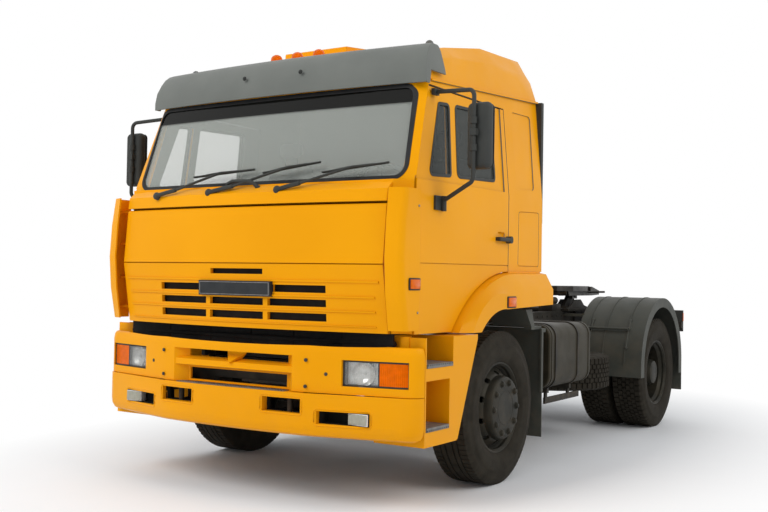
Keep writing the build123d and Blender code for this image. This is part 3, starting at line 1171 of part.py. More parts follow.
# ---------------------------------------------------------------- all pieces
def write_all():
    left_door, left_trim, left_panes, left_mirror = door(), door_trim(), door_panes(), door_mirror()
    piece("frame", frame())
    piece("engine", power_unit())
    piece("prop_shaft", prop_shaft())
    piece("front_axle", front_axle())
    piece("springs", *springs())
    piece("rear_axle", rear_axle())
    piece("bumper_upper", upper_bumper())
    piece("bumper_lower", lower_bumper())
    piece("headlamps", *both(headlamp()))
    piece("fog_lamps", *both(fog_lamp()))
    piece("step_boxes", *both(step_box()))
    piece("step_plates", *both(*[tread(*t) for t in TREADS]), ledge_plate())
    piece("mudguards", *both(rear_guard(), front_flap()))
    piece("rear_lamps", *both(rounded_block(1060, 1180, RAIL_Y1 + LAMP_BAR_Y + SEAT, REAR_END, 865, 1078, 4)))
    piece("fuel_tank", fuel_tank())
    straps = tank_bar()
    for y in STRAPS:
        straps += tank_strap(y)
    piece("tank_straps", straps)
    piece("battery_box", battery_box())
    piece("air_tanks", air_tanks())
    piece("exhaust", exhaust())
    piece("spare_tyre", spare(tyre(0)))
    piece("spare_rim", spare(turned(rim_points(0))) + spare_carrier())
    piece("fifth_wheel_base", fifth_wheel_base())
    piece("fifth_wheel", fifth_wheel())

    piece("cab_shell", cab_shell())
    piece("cab_roof", cab_roof())
    piece("windshield", cab_skin(6, 12) & along_y(screen_face(SCREEN_RUBBER), -1300, SCREEN_DEPTH))
    rubber = along_y(screen_face(0), -1300, SCREEN_DEPTH) - along_y(screen_face(SCREEN_RUBBER), -1301, SCREEN_DEPTH + 1)
    piece("windshield_rubber", cab_skin(-3, 18) & rubber)
    piece("visor", visor())
    piece("arches", *both(arch_band()))
    piece("corner_vanes", *both(corner_vane()))
    piece("wipers", *[wiper(*w) - cab_body(0) - front_solid(COWL_SECTIONS, 0) for w in WIPERS])
    piece("roof_lamps", *roof_lamps())
    piece("side_lamps", *both(*side_lamps()))
    piece("seats", *seats())
    piece("dashboard", dashboard())
    piece("snorkel", snorkel())

    for name, turn in (("left", lambda s: s), ("right", flip)):
        piece(f"door_{name}", turn(left_door))
        piece(f"door_glass_{name}", *[turn(p) for p in left_panes])
        piece(f"door_trim_{name}", *[turn(p) for p in left_trim])
        piece(f"mirror_{name}", turn(left_mirror))
        piece(f"knuckle_{name}", turn(knuckle()))
    piece("front_panel", front_panel())
    piece("grille", grille())
    piece("tie_rod", tie_rod())

    front, rear, round_tyre = front_wheel(), rear_wheels(), tyre(FRONT_WHEEL_X)
    rear_tyres = [Pos(0, WHEELBASE, 0) * tyre(x) for x in (REAR_WHEEL_X, REAR_WHEEL_X - TWIN_SPACING)]
    for side, turn in (("l", lambda s: s), ("r", flip)):
        piece(f"rim_f{side}", turn(front))
        piece(f"tyre_f{side}", turn(round_tyre))
        piece(f"rims_r{side}", turn(rear))
        piece(f"tyres_r{side}", *[turn(t) for t in rear_tyres])


write_all()
for name, shape in PIECES.items():
    export_step(shape, f"parts/{name}.step")
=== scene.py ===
# %% [markdown]
# # A cab-over tractor unit, dressed
# The truck's solids were drawn in millimetres in a CAD program and packed as one model. That model is the
# frame here: it gives every panel, wheel and bracket its place and its size, and nothing in this lesson
# moves it. We give each solid a finish, and build the parts a CAD program is clumsy at, such as tyre tread
# and lamp glass.

# %% Load the frame
import bpy
import bmesh
import math
from mathutils import Matrix, Vector


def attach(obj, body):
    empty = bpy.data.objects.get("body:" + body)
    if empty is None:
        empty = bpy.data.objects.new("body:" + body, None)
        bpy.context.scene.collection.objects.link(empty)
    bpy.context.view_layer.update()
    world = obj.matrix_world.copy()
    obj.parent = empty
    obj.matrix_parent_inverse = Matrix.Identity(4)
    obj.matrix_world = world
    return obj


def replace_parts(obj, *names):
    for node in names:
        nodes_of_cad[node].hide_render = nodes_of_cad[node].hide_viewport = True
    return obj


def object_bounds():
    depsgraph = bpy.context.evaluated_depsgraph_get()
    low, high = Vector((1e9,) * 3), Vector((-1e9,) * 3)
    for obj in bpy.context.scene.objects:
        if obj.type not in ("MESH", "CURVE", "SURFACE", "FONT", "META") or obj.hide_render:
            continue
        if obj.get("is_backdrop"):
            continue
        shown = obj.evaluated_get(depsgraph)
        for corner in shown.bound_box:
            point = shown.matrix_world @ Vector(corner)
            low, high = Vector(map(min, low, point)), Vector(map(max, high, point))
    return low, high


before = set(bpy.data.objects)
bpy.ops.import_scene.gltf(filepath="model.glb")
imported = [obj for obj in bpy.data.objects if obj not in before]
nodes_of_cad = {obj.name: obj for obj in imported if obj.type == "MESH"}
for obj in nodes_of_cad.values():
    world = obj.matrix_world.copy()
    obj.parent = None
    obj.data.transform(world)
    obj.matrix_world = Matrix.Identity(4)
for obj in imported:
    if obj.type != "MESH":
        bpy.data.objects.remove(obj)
cad_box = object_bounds()
print(len(nodes_of_cad), "solids, box", [round(v, 3) for v in cad_box[1] - cad_box[0]])

# %% [markdown]
# ## Drawing sizes
# On the drawing, y is measured backwards from the front axle. In the frame, the origin is at the middle of
# the truck's length, 1374 mm further back, and the unit is the metre. One small function joins the two, so
# that every size below can be read straight off the drawing. Most things come in pairs, so the two sides
# have a short table.

# %% From drawing millimetres to the frame
MIDDLE = 1374
TYRE_R, WHEELBASE = 507, 3350
SIDES = ((1, "left"), (-1, "right"))


def at(x, y, z):
    return Vector((x, y - MIDDLE, z)) / 1000


print("front axle lies at", at(0, 0, TYRE_R))

# %% [markdown]
# ## Finishes
# A painted panel is never one flat colour. The pigment drifts a little from panel to panel, the clear coat
# has a fine orange peel, and dust gathers towards the road. A painted picture of that would have to be laid
# out on every face. Noise that is worked out from a point's own place needs no layout, so all finishes here
# are built that way. The small helpers come first: each adds one node, and takes a number, a colour or
# another node's output.

# %% Helpers for finishes
def fill(node, values):
    """An output of another node is wired to its socket. A number or a colour is set on the socket itself."""
    for key, value in values.items():
        if isinstance(value, bpy.types.NodeSocket):
            node.id_data.links.new(value, node.inputs[key])
        else:
            node.inputs[key].default_value = value


def add_node(tree, kind, values=None, **settings):
    made = tree.nodes.new(kind)
    for key, value in settings.items():
        setattr(made, key, value)
    fill(made, values or {})
    return made


def blank_material(name):
    mat = bpy.data.materials.new(name)
    mat.use_nodes = True
    return mat, mat.node_tree, mat.node_tree.nodes["Principled BSDF"]


def own_place(tree):
    """Each point's place in the object's own space, so that a finish moves with its piece."""
    return add_node(tree, "ShaderNodeTexCoord").outputs["Object"]


def height_of(tree, place):
    return add_node(tree, "ShaderNodeSeparateXYZ", {0: place}).outputs["Z"]


def noise(tree, place, scale, detail=3.0):
    values = {"Vector": place, "Scale": scale, "Detail": detail}
    return add_node(tree, "ShaderNodeTexNoise", values).outputs[0]


def remap(tree, value, low, high, to_low, to_high):
    ends = {"From Min": low, "From Max": high, "To Min": to_low, "To Max": to_high}
    return add_node(tree, "ShaderNodeMapRange", {"Value": value, **ends}).outputs["Result"]


def blend_colour(tree, share, first, second):
    return add_node(tree, "ShaderNodeMix", {0: share, 6: first, 7: second}, data_type="RGBA").outputs[2]


def maths(tree, kind, a, b=0.0):
    return add_node(tree, "ShaderNodeMath", {0: a, 1: b}, operation=kind).outputs[0]


def vector_maths(tree, kind, a, b=(0, 0, 0)):
    return add_node(tree, "ShaderNodeVectorMath", {0: a, 1: b}, operation=kind).outputs


def bump(tree, height, strength, distance):
    return add_node(tree, "ShaderNodeBump", {"Height": height, "Strength": strength, "Distance": distance})


print("node helpers ready")

# %% [markdown]
# The finish itself has two tones that drift, dust low down, a roughness that varies and a fine grain. The
# bevel node rounds the shading at sharp edges, because a pressed panel has no knife edges. `gloss` and
# `tint` set the strength and the colour of the reflections, the dust ends at the height `dust_top`, and
# `edge` is the rounding, both in metres.

# %% A finish from noise, dust and grain
DUST = (0.23, 0.17, 0.11, 1)


def finish(name, colour, second, rough, metal=0.0, coat=0.0, patch=1.5, grain=400.0, depth=0.02,
           dust=0.0, dust_top=1.3, edge=0.003, gloss=0.25, tint=(1, 1, 1)):
    mat, tree, shader = blank_material(name)
    mat.diffuse_color = (*colour, 1)
    place = own_place(tree)
    drift = remap(tree, noise(tree, place, patch), 0.35, 0.65, 0, 1)
    tone = blend_colour(tree, drift, (*colour, 1), (*second, 1))
    if dust:
        low = remap(tree, height_of(tree, place), 0.35, dust_top, 1, 0)
        spots = remap(tree, noise(tree, place, 9, 6), 0.42, 0.72, 0, dust)
        tone = blend_colour(tree, maths(tree, "MULTIPLY", low, spots), tone, DUST)
    worn = remap(tree, noise(tree, place, 7, 4), 0.3, 0.7, rough - 0.05, rough + 0.07)
    peel = bump(tree, noise(tree, place, grain, 2), depth, 0.002)
    if edge:
        fill(peel, {"Normal": add_node(tree, "ShaderNodeBevel", {"Radius": edge}, samples=4).outputs[0]})
    fill(shader, {"Base Color": tone, "Roughness": worn, "Normal": peel.outputs[0], "Metallic": metal,
                  "Coat Weight": coat, "Coat Roughness": 0.08, "Specular IOR Level": gloss,
                  "Specular Tint": (*tint, 1)})
    return mat


paint = finish("yellow_paint", (0.90, 0.372, 0.003), (0.84, 0.338, 0.002), 0.36, coat=0.06, patch=0.9,
               dust=0.06, dust_top=0.8, gloss=0.14, tint=(1.0, 0.72, 0.22))
dark_plastic = finish("dark_plastic", (0.030, 0.032, 0.030), (0.042, 0.044, 0.040), 0.55,
                      patch=4, grain=900, depth=0.12, dust=0.25)
visor_plastic = finish("visor_plastic", (0.142, 0.150, 0.136), (0.160, 0.168, 0.152), 0.45,
                       patch=3, grain=900, depth=0.10)
chassis_black = finish("chassis_black", (0.018, 0.017, 0.015), (0.032, 0.030, 0.026), 0.5,
                       patch=5, grain=250, depth=0.12, dust=0.28, gloss=0.15, tint=(1.0, 0.9, 0.72))
wheel_black = finish("wheel_black", (0.014, 0.014, 0.011), (0.022, 0.021, 0.016), 0.42,
                     patch=6, depth=0.06, dust=0.12, gloss=0.16, tint=(1.0, 0.93, 0.78))
guard_grey = finish("guard_grey", (0.050, 0.053, 0.044), (0.064, 0.066, 0.054), 0.5,
                    patch=4, grain=700, depth=0.12, dust=0.16)
tank_grey = finish("tank_grey", (0.021, 0.018, 0.011), (0.032, 0.028, 0.018), 0.45,
                   patch=4, grain=500, depth=0.08, dust=0.12, gloss=0.18, tint=(1.0, 0.9, 0.7))
greased_steel = finish("greased_steel", (0.035, 0.033, 0.030), (0.075, 0.068, 0.06), 0.38,
                       metal=0.8, patch=9, grain=200, depth=0.2)
engine_iron = finish("engine_iron", (0.07, 0.068, 0.062), (0.10, 0.095, 0.085), 0.6,
                     metal=0.4, patch=8, grain=120, depth=0.3, dust=0.4)
screw_steel = finish("screw_steel", (0.22, 0.21, 0.20), (0.30, 0.29, 0.27), 0.4,
                     metal=0.8, patch=60, grain=900, depth=0.1)
print(len(bpy.data.materials), "finishes so far")

# %% [markdown]
# The step plates are aluminium, punched full of small holes for grip. The holes are too many to cut, so a
# cell pattern with no randomness paints them near-black in rows, 22 mm apart: painted shade, as seen
# through each hole.

# %% Punched step plates
HOLE_PITCH, HOLE_SHADE_BLACK = 0.022, (0.012, 0.012, 0.011, 1)
plate_steel = finish("step_aluminium", (0.17, 0.17, 0.17), (0.26, 0.255, 0.24), 0.5,
                     metal=0.5, patch=20, grain=600, depth=0.2, dust=0.3)
tree, shader = plate_steel.node_tree, plate_steel.node_tree.nodes["Principled BSDF"]
cells = add_node(tree, "ShaderNodeTexVoronoi",
                 {"Vector": own_place(tree), "Scale": 1 / HOLE_PITCH, "Randomness": 0})
# Each hole is painted near-black, as painted shade for what is seen through it.
hole = remap(tree, cells.outputs["Distance"], 0.24, 0.30, 1, 0)
unpunched = shader.inputs["Base Color"].links[0].from_socket
fill(shader, {"Base Color": blend_colour(tree, hole, unpunched, HOLE_SHADE_BLACK)})
print("step plates punched every", HOLE_PITCH * 1000, "mm")

# %% [markdown]
# ## The lined cab
# The cab's walls are one solid, as thick as the real wall, so the same solid shows yellow outside and grey
# lining inside. Splitting the mesh would change the CAD part. Instead the finish asks which way each face
# looks: if it looks back at the middle of the cab, it is lining. The test uses the object's own space, so
# it still holds when the cab is tilted.

# %% Paint outside, lining inside
CAB_HEART = at(0, -220, 2060)
lined = paint.copy()
lined.name = "paint_with_lining"
tree, shader = lined.node_tree, lined.node_tree.nodes["Principled BSDF"]
coords = add_node(tree, "ShaderNodeTexCoord").outputs
outwards = vector_maths(tree, "SUBTRACT", coords["Object"], CAB_HEART)[0]
facing = vector_maths(tree, "DOT_PRODUCT", outwards, coords["Normal"])["Value"]
lining = maths(tree, "LESS_THAN", facing, 0.0)
weave = remap(tree, noise(tree, coords["Object"], 260, 4), 0.3, 0.7, 0, 1)
cloth = blend_colour(tree, weave, (0.17, 0.175, 0.17, 1), (0.23, 0.235, 0.225, 1))
painted = shader.inputs["Base Color"].links[0].from_socket
fill(shader, {"Base Color": blend_colour(tree, lining, painted, cloth)})
print("lining ready")

# %% [markdown]
# ## Glass and lamp lenses
# The window panes are thin solids. True refraction would darken the cab, because light that has to find its
# way through glass arrives late and noisy. A clear film does the same job here: the pane is mostly
# see-through, has a grey body tint, and reflects more at a shallow angle. The windscreen also has a dark
# band along its top edge, which is a painted reflection of the visor above it.

# %% Window panes
# The visor's reflection is painted into the windscreen: from this height up, the glass turns near-black and
# almost opaque.
VISOR_REFLECTION_LOW, VISOR_REFLECTION_FADE = 2.395, 0.012
VISOR_REFLECTION_BLACK = (0.006, 0.006, 0.005, 1)


def pane(name, tint, clear, painted_reflection=False):
    mat, tree, shader = blank_material(name)
    place = own_place(tree)
    film = remap(tree, noise(tree, place, 3, 5), 0.3, 0.7, 0.9, 1.1)
    body = blend_colour(tree, film, (*[t * 0.8 for t in tint], 1), (*tint, 1))
    slant = add_node(tree, "ShaderNodeLayerWeight", {"Blend": 0.35}).outputs["Facing"]
    alpha = remap(tree, slant, 0, 1, 1 - clear, 1.25 - clear)
    # Painted reflection: a near-black band across the top of the pane, standing in for the visor's
    # reflection.
    if painted_reflection:
        reflection_share = remap(tree, height_of(tree, place), VISOR_REFLECTION_LOW, VISOR_REFLECTION_LOW + VISOR_REFLECTION_FADE, 0, 1)
        body = blend_colour(tree, reflection_share, body, VISOR_REFLECTION_BLACK)
        alpha = maths(tree, "MAXIMUM", alpha, maths(tree, "MULTIPLY", reflection_share, 0.93))
    fill(shader, {"Base Color": body, "Alpha": alpha,
                  "Roughness": 0.03, "IOR": 1.5, "Specular IOR Level": 0.2})
    return mat


screen_glass = pane("screen_glass", (0.64, 0.67, 0.61), 0.78, painted_reflection=True)
door_glass = pane("door_glass", (0.12, 0.13, 0.12), 0.82)
print("panes ready")

# %% [markdown]
# Lamp lenses are moulded plastic with fine upright ribs that spread the light. The ribs are too fine to
# model one by one, so a wave pattern drives the bump.

# %% Ribbed lenses
def lens(name, colour, rough, transmission, ribs, strength=0.35, glow=0.0):
    mat, tree, shader = blank_material(name)
    place = own_place(tree)
    shade = remap(tree, noise(tree, place, 30, 3), 0.3, 0.7, 0, 1)
    tone = blend_colour(tree, shade, (*colour, 1), (*[c * 0.82 for c in colour], 1))
    wave = add_node(tree, "ShaderNodeTexWave", {"Vector": place, "Scale": ribs}).outputs["Fac"]
    fill(shader, {"Base Color": tone, "Roughness": rough, "Transmission Weight": transmission, "IOR": 1.45,
                  "Specular IOR Level": 0.22, "Specular Tint": (*colour, 1),
                  "Normal": bump(tree, wave, strength, 0.003).outputs[0]})
    if glow:
        fill(shader, {"Emission Color": (*colour, 1), "Emission Strength": glow})
    return mat


clear_lens = lens("clear_lens", (0.94, 0.94, 0.92), 0.05, 0.9, 22, strength=0.6)
amber_lens = lens("amber_lens", (0.88, 0.155, 0.002), 0.12, 0.12, 28, strength=0.7, glow=0.06)
red_lens = lens("red_lens", (0.55, 0.012, 0.008), 0.12, 0.25, 28, glow=0.05)
reflector = finish("reflector_chrome", (0.90, 0.90, 0.88), (0.84, 0.84, 0.82), 0.22,
                   metal=0.55, patch=30, edge=0)
print("lenses ready")

# %% [markdown]
# ## Rubber and seat cloth
# A tyre is matt and brown-black. The film of road dust on it takes the shine off, so its reflections are
# weak and warm. The rubber round the windscreen stays cleaner, so it is greyer and smoother. The seats wear
# a rough blue-grey cloth.

# %% Tyre rubber, window rubber, seat cloth
rubber = finish("tyre_rubber", (0.019, 0.0165, 0.013), (0.031, 0.027, 0.021), 0.78,
                patch=14, grain=700, depth=0.25, edge=0, gloss=0.14, tint=(1.0, 0.88, 0.66))
seal_rubber = finish("seal_rubber", (0.018, 0.018, 0.018), (0.026, 0.026, 0.026), 0.5,
                     patch=8, grain=600, depth=0.08)
seat_cloth = finish("seat_cloth_blue_grey", (0.060, 0.063, 0.068), (0.085, 0.088, 0.094), 0.85,
                    patch=70, grain=1400, depth=0.5, edge=0)
print("rubber and cloth ready")

# %% [markdown]
# ## Finishes on the solids
# Each solid gets the finish of the real piece. The table below is the whole list, and the loop says so if a
# solid is missed, because a bare grey solid is easy to overlook.

# %% Give every solid its finish
WEARS = {
    lined: "cab_shell cab_roof door_left door_right",
    paint: "bumper_upper bumper_lower step_boxes arches corner_vanes front_panel grille",
    visor_plastic: "visor",
    dark_plastic: "rear_lamps door_trim_left door_trim_right mirror_left mirror_right wipers snorkel "
                  "dashboard",
    seal_rubber: "windshield_rubber",
    screen_glass: "windshield",
    door_glass: "door_glass_left door_glass_right",
    chassis_black: "frame front_axle springs rear_axle prop_shaft tank_straps air_tanks exhaust battery_box "
                   "fifth_wheel_base knuckle_left knuckle_right tie_rod",
    guard_grey: "mudguards",
    tank_grey: "fuel_tank",
    wheel_black: "rim_fl rim_fr rims_rl rims_rr spare_rim",
    rubber: "tyre_fl tyre_fr tyres_rl tyres_rr spare_tyre",
    greased_steel: "fifth_wheel",
    engine_iron: "engine",
    plate_steel: "step_plates",
    amber_lens: "side_lamps roof_lamps",
    clear_lens: "headlamps fog_lamps",
    seat_cloth: "seats",
}
bare = set(nodes_of_cad)
for mat, names in WEARS.items():
    for name in names.split():
        nodes_of_cad[name].data.materials.clear()
        nodes_of_cad[name].data.materials.append(mat)
        bare.discard(name)
print("solids with no finish:", sorted(bare))

# %% [markdown]
# ## Smooth pressings
# A CAD solid comes as flat facets. On a pressed roof or a moulded visor one sees a smooth curve, and a hard
# line only where the metal is folded. A small node group does that to every solid: it joins the facets'
# shared corners, shades across gentle angles and keeps an edge hard where the angle is large. It is a
# modifier, so the solid stays as it is.

# %% Shade smooth by angle
WELD = 0.00003


def smooth_group(limit_degrees):
    group = bpy.data.node_groups.new("smooth_pressing", "GeometryNodeTree")
    group.interface.new_socket("Geometry", in_out="INPUT", socket_type="NodeSocketGeometry")
    group.interface.new_socket("Geometry", in_out="OUTPUT", socket_type="NodeSocketGeometry")
    start, end = add_node(group, "NodeGroupInput"), add_node(group, "NodeGroupOutput")
    weld = add_node(group, "GeometryNodeMergeByDistance", {"Geometry": start.outputs[0], "Distance": WELD})
    angle = add_node(group, "GeometryNodeInputMeshEdgeAngle").outputs["Unsigned Angle"]
    sharp = add_node(group, "FunctionNodeCompare", {"A": angle, "B": math.radians(limit_degrees)},
                     data_type="FLOAT", operation="GREATER_THAN")
    normals = add_node(group, "GeometryNodeSetMeshNormal",
                       {"Mesh": weld.outputs["Geometry"], "Edge Sharpness": sharp.outputs["Result"],
                        "Remove Custom": True}, mode="SHARPNESS")
    fill(end, {0: normals.outputs["Mesh"]})
    return group


pressing = smooth_group(28)
for node in nodes_of_cad.values():
    node.modifiers.new("smooth_pressing", "NODES").node_group = pressing
print("smoothed", len(nodes_of_cad), "solids")

# %% [markdown]
# ## Building blocks
# Most small parts of a truck are boxes with softened edges, or a row of outlines joined by faces: a turned
# knob, a bent bar, a lamp glass, a strip along a curved panel. One helper joins outlines, and the others
# only place them. All add to a mesh that is being gathered.

# %% Helpers for small parts
def add_box(bm, low, high, soft=0.0015):
    lo, hi = at(*low), at(*high)
    made = bmesh.ops.create_cube(bm, size=1)
    for v in made["verts"]:
        v.co = Vector([lo[i] + (hi[i] - lo[i]) * (v.co[i] + 0.5) for i in range(3)])
    edges = list({e for v in made["verts"] for e in v.link_edges})
    bmesh.ops.bevel(bm, geom=edges, offset=soft, segments=2, affect="EDGES", profile=0.5)


def join_rings(bm, rings, lids=True):
    """Faces between outlines that follow each other, and a lid at both ends."""
    count = len(rings[0])
    for a, b in zip(rings, rings[1:]):
        for k in range(count):
            j = (k + 1) % count
            bm.faces.new((a[k], a[j], b[j], b[k]))
    if lids:
        bm.faces.new(list(reversed(rings[0])))
        bm.faces.new(rings[-1])


def circle(radius, height, steps):
    """Points of a circle about the z axis, in metres, from a radius and a height in millimetres."""
    r, h = radius / 1000, height / 1000
    angles = [2 * math.pi * k / steps for k in range(steps)]
    return [Vector((r * math.cos(a), r * math.sin(a), h)) for a in angles]


def add_turned(bm, profile, centre, axis, steps=24):
    """A ring turned about `axis` through `centre`. The profile's columns: height along the axis, radius."""
    place = Matrix.Translation(at(*centre)) @ Vector(axis).to_track_quat("Z", "Y").to_matrix().to_4x4()
    join_rings(bm, [[bm.verts.new(place @ p) for p in circle(r, h, steps)] for h, r in profile])


def add_bar(bm, points, radius, steps=10):
    """A round bar through points given in drawing millimetres."""
    path = [at(*p) for p in points]
    rings = []
    for i, p in enumerate(path):
        ahead = (path[min(i + 1, len(path) - 1)] - path[max(i - 1, 0)]).normalized()
        turn = ahead.to_track_quat("Z", "Y").to_matrix()
        rings.append([bm.verts.new(p + turn @ spoke) for spoke in circle(radius, 0, steps)])
    join_rings(bm, rings)


def add_extruded(bm, x0, x1, outline):
    """A flat outline in (y, z), drawn out from x0 to x1."""
    join_rings(bm, [[bm.verts.new(at(x, y, z)) for y, z in outline] for x in (x0, x1)])


def add_strip(bm, face_y, xs, zs, front, back, steps=6):
    """A strip along a curved panel. `face_y` gives the panel's y at (x, z); front and back count from it."""
    rings = []
    for i in range(steps + 1):
        x = xs[0] + (xs[1] - xs[0]) * i / steps
        corners = ((zs[0], front), (zs[1], front), (zs[1], back), (zs[0], back))
        rings.append([bm.verts.new(at(x, face_y(x, z) + behind, z)) for z, behind in corners])
    join_rings(bm, rings)


print("five ways to add to a mesh")

# %% [markdown]
# A moulded pad, such as a lens or a reflector, is a rounded outline at a few levels, each drawn in a
# little. Two small functions stand it against the truck's side or against a plane across the truck.

# %% Rounded pads
def rounded_rect(width, height, radius, steps=5):
    """Points of a rounded rectangle about the origin, anticlockwise."""
    points = []
    for k, (cx, cy) in enumerate(((1, 1), (-1, 1), (-1, -1), (1, -1))):
        x, y = cx * (width / 2 - radius), cy * (height / 2 - radius)
        for i in range(steps + 1):
            a = math.radians(90 * k + 90 * i / steps)
            points.append((x + radius * math.cos(a), y + radius * math.sin(a)))
    return points


def on_side(x, y, z):
    return lambda u, v, level: (x + level, y + u, z + v)


def across(x, y, z):
    return lambda u, v, level: (x + u, y + level, z + v)


def add_prism(bm, points, place, layers):
    """The layers' columns: level, and how far the outline is drawn in there."""
    rings = []
    for level, inset in layers:
        inner = [[c - math.copysign(min(inset, abs(c)), c) for c in point] for point in points]
        rings.append([bm.verts.new(at(*place(u, v, level))) for u, v in inner])
    join_rings(bm, rings)


print("a rounded outline has", len(rounded_rect(100, 50, 8)), "points")

# %% [markdown]
# Two helpers swap a mesh to the other side or add its mirror image. The last one turns the gathered mesh
# into a piece that rides on its CAD body, shaded smooth except across sharp edges.

# %% Sides and pieces
def swap_side(verts):
    for v in verts:
        v.co.x = -v.co.x


def mirror(*meshes):
    """Adds to each mesh its mirror image across the centre plane."""
    for bm in meshes:
        found = bmesh.ops.duplicate(bm, geom=bm.verts[:] + bm.edges[:] + bm.faces[:])["geom"]
        swap_side([v for v in found if isinstance(v, bmesh.types.BMVert)])
        bmesh.ops.reverse_faces(bm, faces=[f for f in found if isinstance(f, bmesh.types.BMFace)])


def put(name, bm, body, material, smooth=40):
    bmesh.ops.recalc_face_normals(bm, faces=bm.faces[:])
    mesh = bpy.data.meshes.new(name)
    bm.to_mesh(mesh)
    bm.free()
    piece = bpy.data.objects.new(name, mesh)
    bpy.context.scene.collection.objects.link(piece)
    mesh.materials.append(material)
    mesh.shade_smooth()
    mesh.set_sharp_from_angle(angle=math.radians(smooth))
    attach(piece, body)
    print(name, len(mesh.polygons), "faces on", body)
    return piece


# %% [markdown]
# ## Tyres
# The front tyres steer, so they have long ribs with four grooves between them. The driven tyres and the
# spare have blocks. All are 507 mm in radius and 295 mm wide. A cross section is turned round the axle, and
# where a cross groove runs, the tread points are pushed towards the axle. The steps round the tyre are
# uneven: close together at a groove's two walls, far apart on a block, so that the walls are steep without
# a huge mesh.

# %% Tread and sidewall
HALF_WIDTH = 147.5
GROOVE, WALL_LEAN = 13, 1.5
# From the bead to the shoulder. Columns: how far inside the sidewall's widest point, radius.
FLANK = [(38, 300.5), (26, 301), (17, 310), (10, 330), (8.5, 333), (6, 352), (2.5, 380), (0, 405), (1, 424),
         (2.5, 427), (4, 430), (8, 462), (9, 470), (15, 483)]
SIDE = [(HALF_WIDTH - inside, r, None) for inside, r in FLANK]
# Places of the cross sections along one block and its groove, as shares of the two together. The groove
# takes up those between CUT_START and CUT_END.
SHARES = (0.0, 0.06, 0.26, 0.32, 0.5, 0.56, 0.76, 0.82)
CUT_START, CUT_END = 0.05, 0.3


def tread_row(ribs):
    """Points across the tread: x, radius, and the rib that the point belongs to (None in a groove)."""
    row = []
    low = TYRE_R - GROOVE
    for k, (a, b) in enumerate(ribs):
        row += [(a - WALL_LEAN, low, None), (a, TYRE_R, k), (b, TYRE_R, k), (b + WALL_LEAN, low, None)]
    return row[1:-1]


def tyre(name, body, node, tread, centres, y=0, place=None):
    """One tyre round each centre, on an axle at y, in place of a CAD node."""
    ribs, pitch, cut_ribs, cut_depth = tread
    row = [(-x, r, None) for x, r, _ in SIDE] + tread_row(ribs) + SIDE[::-1]
    step = math.radians(360 / pitch)
    bm = bmesh.new()
    for centre in centres:
        rings = []
        for turn, share in [(block + share, share) for block in range(pitch) for share in SHARES]:
            a = turn * step
            ring = []
            for x, r, k in row:
                # every other rib is cut half a block further on
                if k in cut_ribs and CUT_START < share - 0.5 * (k % 2) < CUT_END:
                    r -= cut_depth
                ring.append(bm.verts.new(at(centre + x, y + r * math.cos(a), TYRE_R + r * math.sin(a))))
            rings.append(ring)
        join_rings(bm, rings + rings[:1], lids=False)
    if place is not None:
        bmesh.ops.transform(bm, matrix=place, verts=bm.verts[:])
    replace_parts(put(name, bm, body, rubber, smooth=30), node)


# columns: ribs across the tread, blocks round the tyre, ribs that are cut, depth of the cuts
STEER_TREAD = ([(-121, -68), (-59, -31), (-22, 22), (31, 59), (68, 121)], 84, (0, 4), 5)
DRIVE_TREAD = ([(-121, -79), (-71, -40), (-33, -4), (4, 33), (40, 71), (79, 121)], 60, range(6), 11)
FRONT_X, REAR_X, TWIN = 1042, 1037, 322
for sign, side in SIDES:
    letter = side[0]
    twins = [sign * REAR_X, sign * (REAR_X - TWIN)]
    tyre(f"steer_tyre_{letter}", f"wheel_front_{side}", f"tyre_f{letter}", STEER_TREAD, [sign * FRONT_X])
    tyre(f"drive_tyres_{letter}", f"wheels_rear_{side}", f"tyres_r{letter}", DRIVE_TREAD, twins, y=WHEELBASE)
SPARE_HUB = at(605, 2125, 586)
lay_flat = Matrix.Rotation(math.radians(-90), 4, "Y") @ Matrix.Translation(-at(0, 0, TYRE_R))
tyre("spare_tyre_dressed", "chassis", "spare_tyre", DRIVE_TREAD, [0],
     place=Matrix.Translation(SPARE_HUB) @ lay_flat)

# %% [markdown]
# ## Headlamps
# Behind each clear glass sits a chromed bowl with its bulb, and the amber indicator is beside it, towards
# the corner of the truck. One block of glass looks like ice, so the lamp is built as it is: a housing, a
# bowl, a thin lens in front of it, and a thicker ribbed lens for the indicator. All but the bowl and the
# bulb follow the lamp's curved front.

# %% The lamp's curved front
# columns: x, y
LAMP_FRONT = [(792, -1281), (1130, -1216), (1192, -1190)]


def lamp_y(x, z=0):
    """The front stands upright, so z makes no difference."""
    for (x0, y0), (x1, y1) in zip(LAMP_FRONT, LAMP_FRONT[1:]):
        if x <= x1 or x1 == LAMP_FRONT[-1][0]:
            return y0 + (y1 - y0) * (x - x0) / (x1 - x0)


print("lamp front at its inner edge", lamp_y(792), "at its outer edge", lamp_y(1192))

# %% Housing, bowl, lenses
LAMP_X, LAMP_Z = (793, 1191), (726, 875)
SPLIT = 1012
CLEAR_X, AMBER_X, GLASS_Z = (804, SPLIT - 4), (SPLIT + 4, 1182), (736, 865)
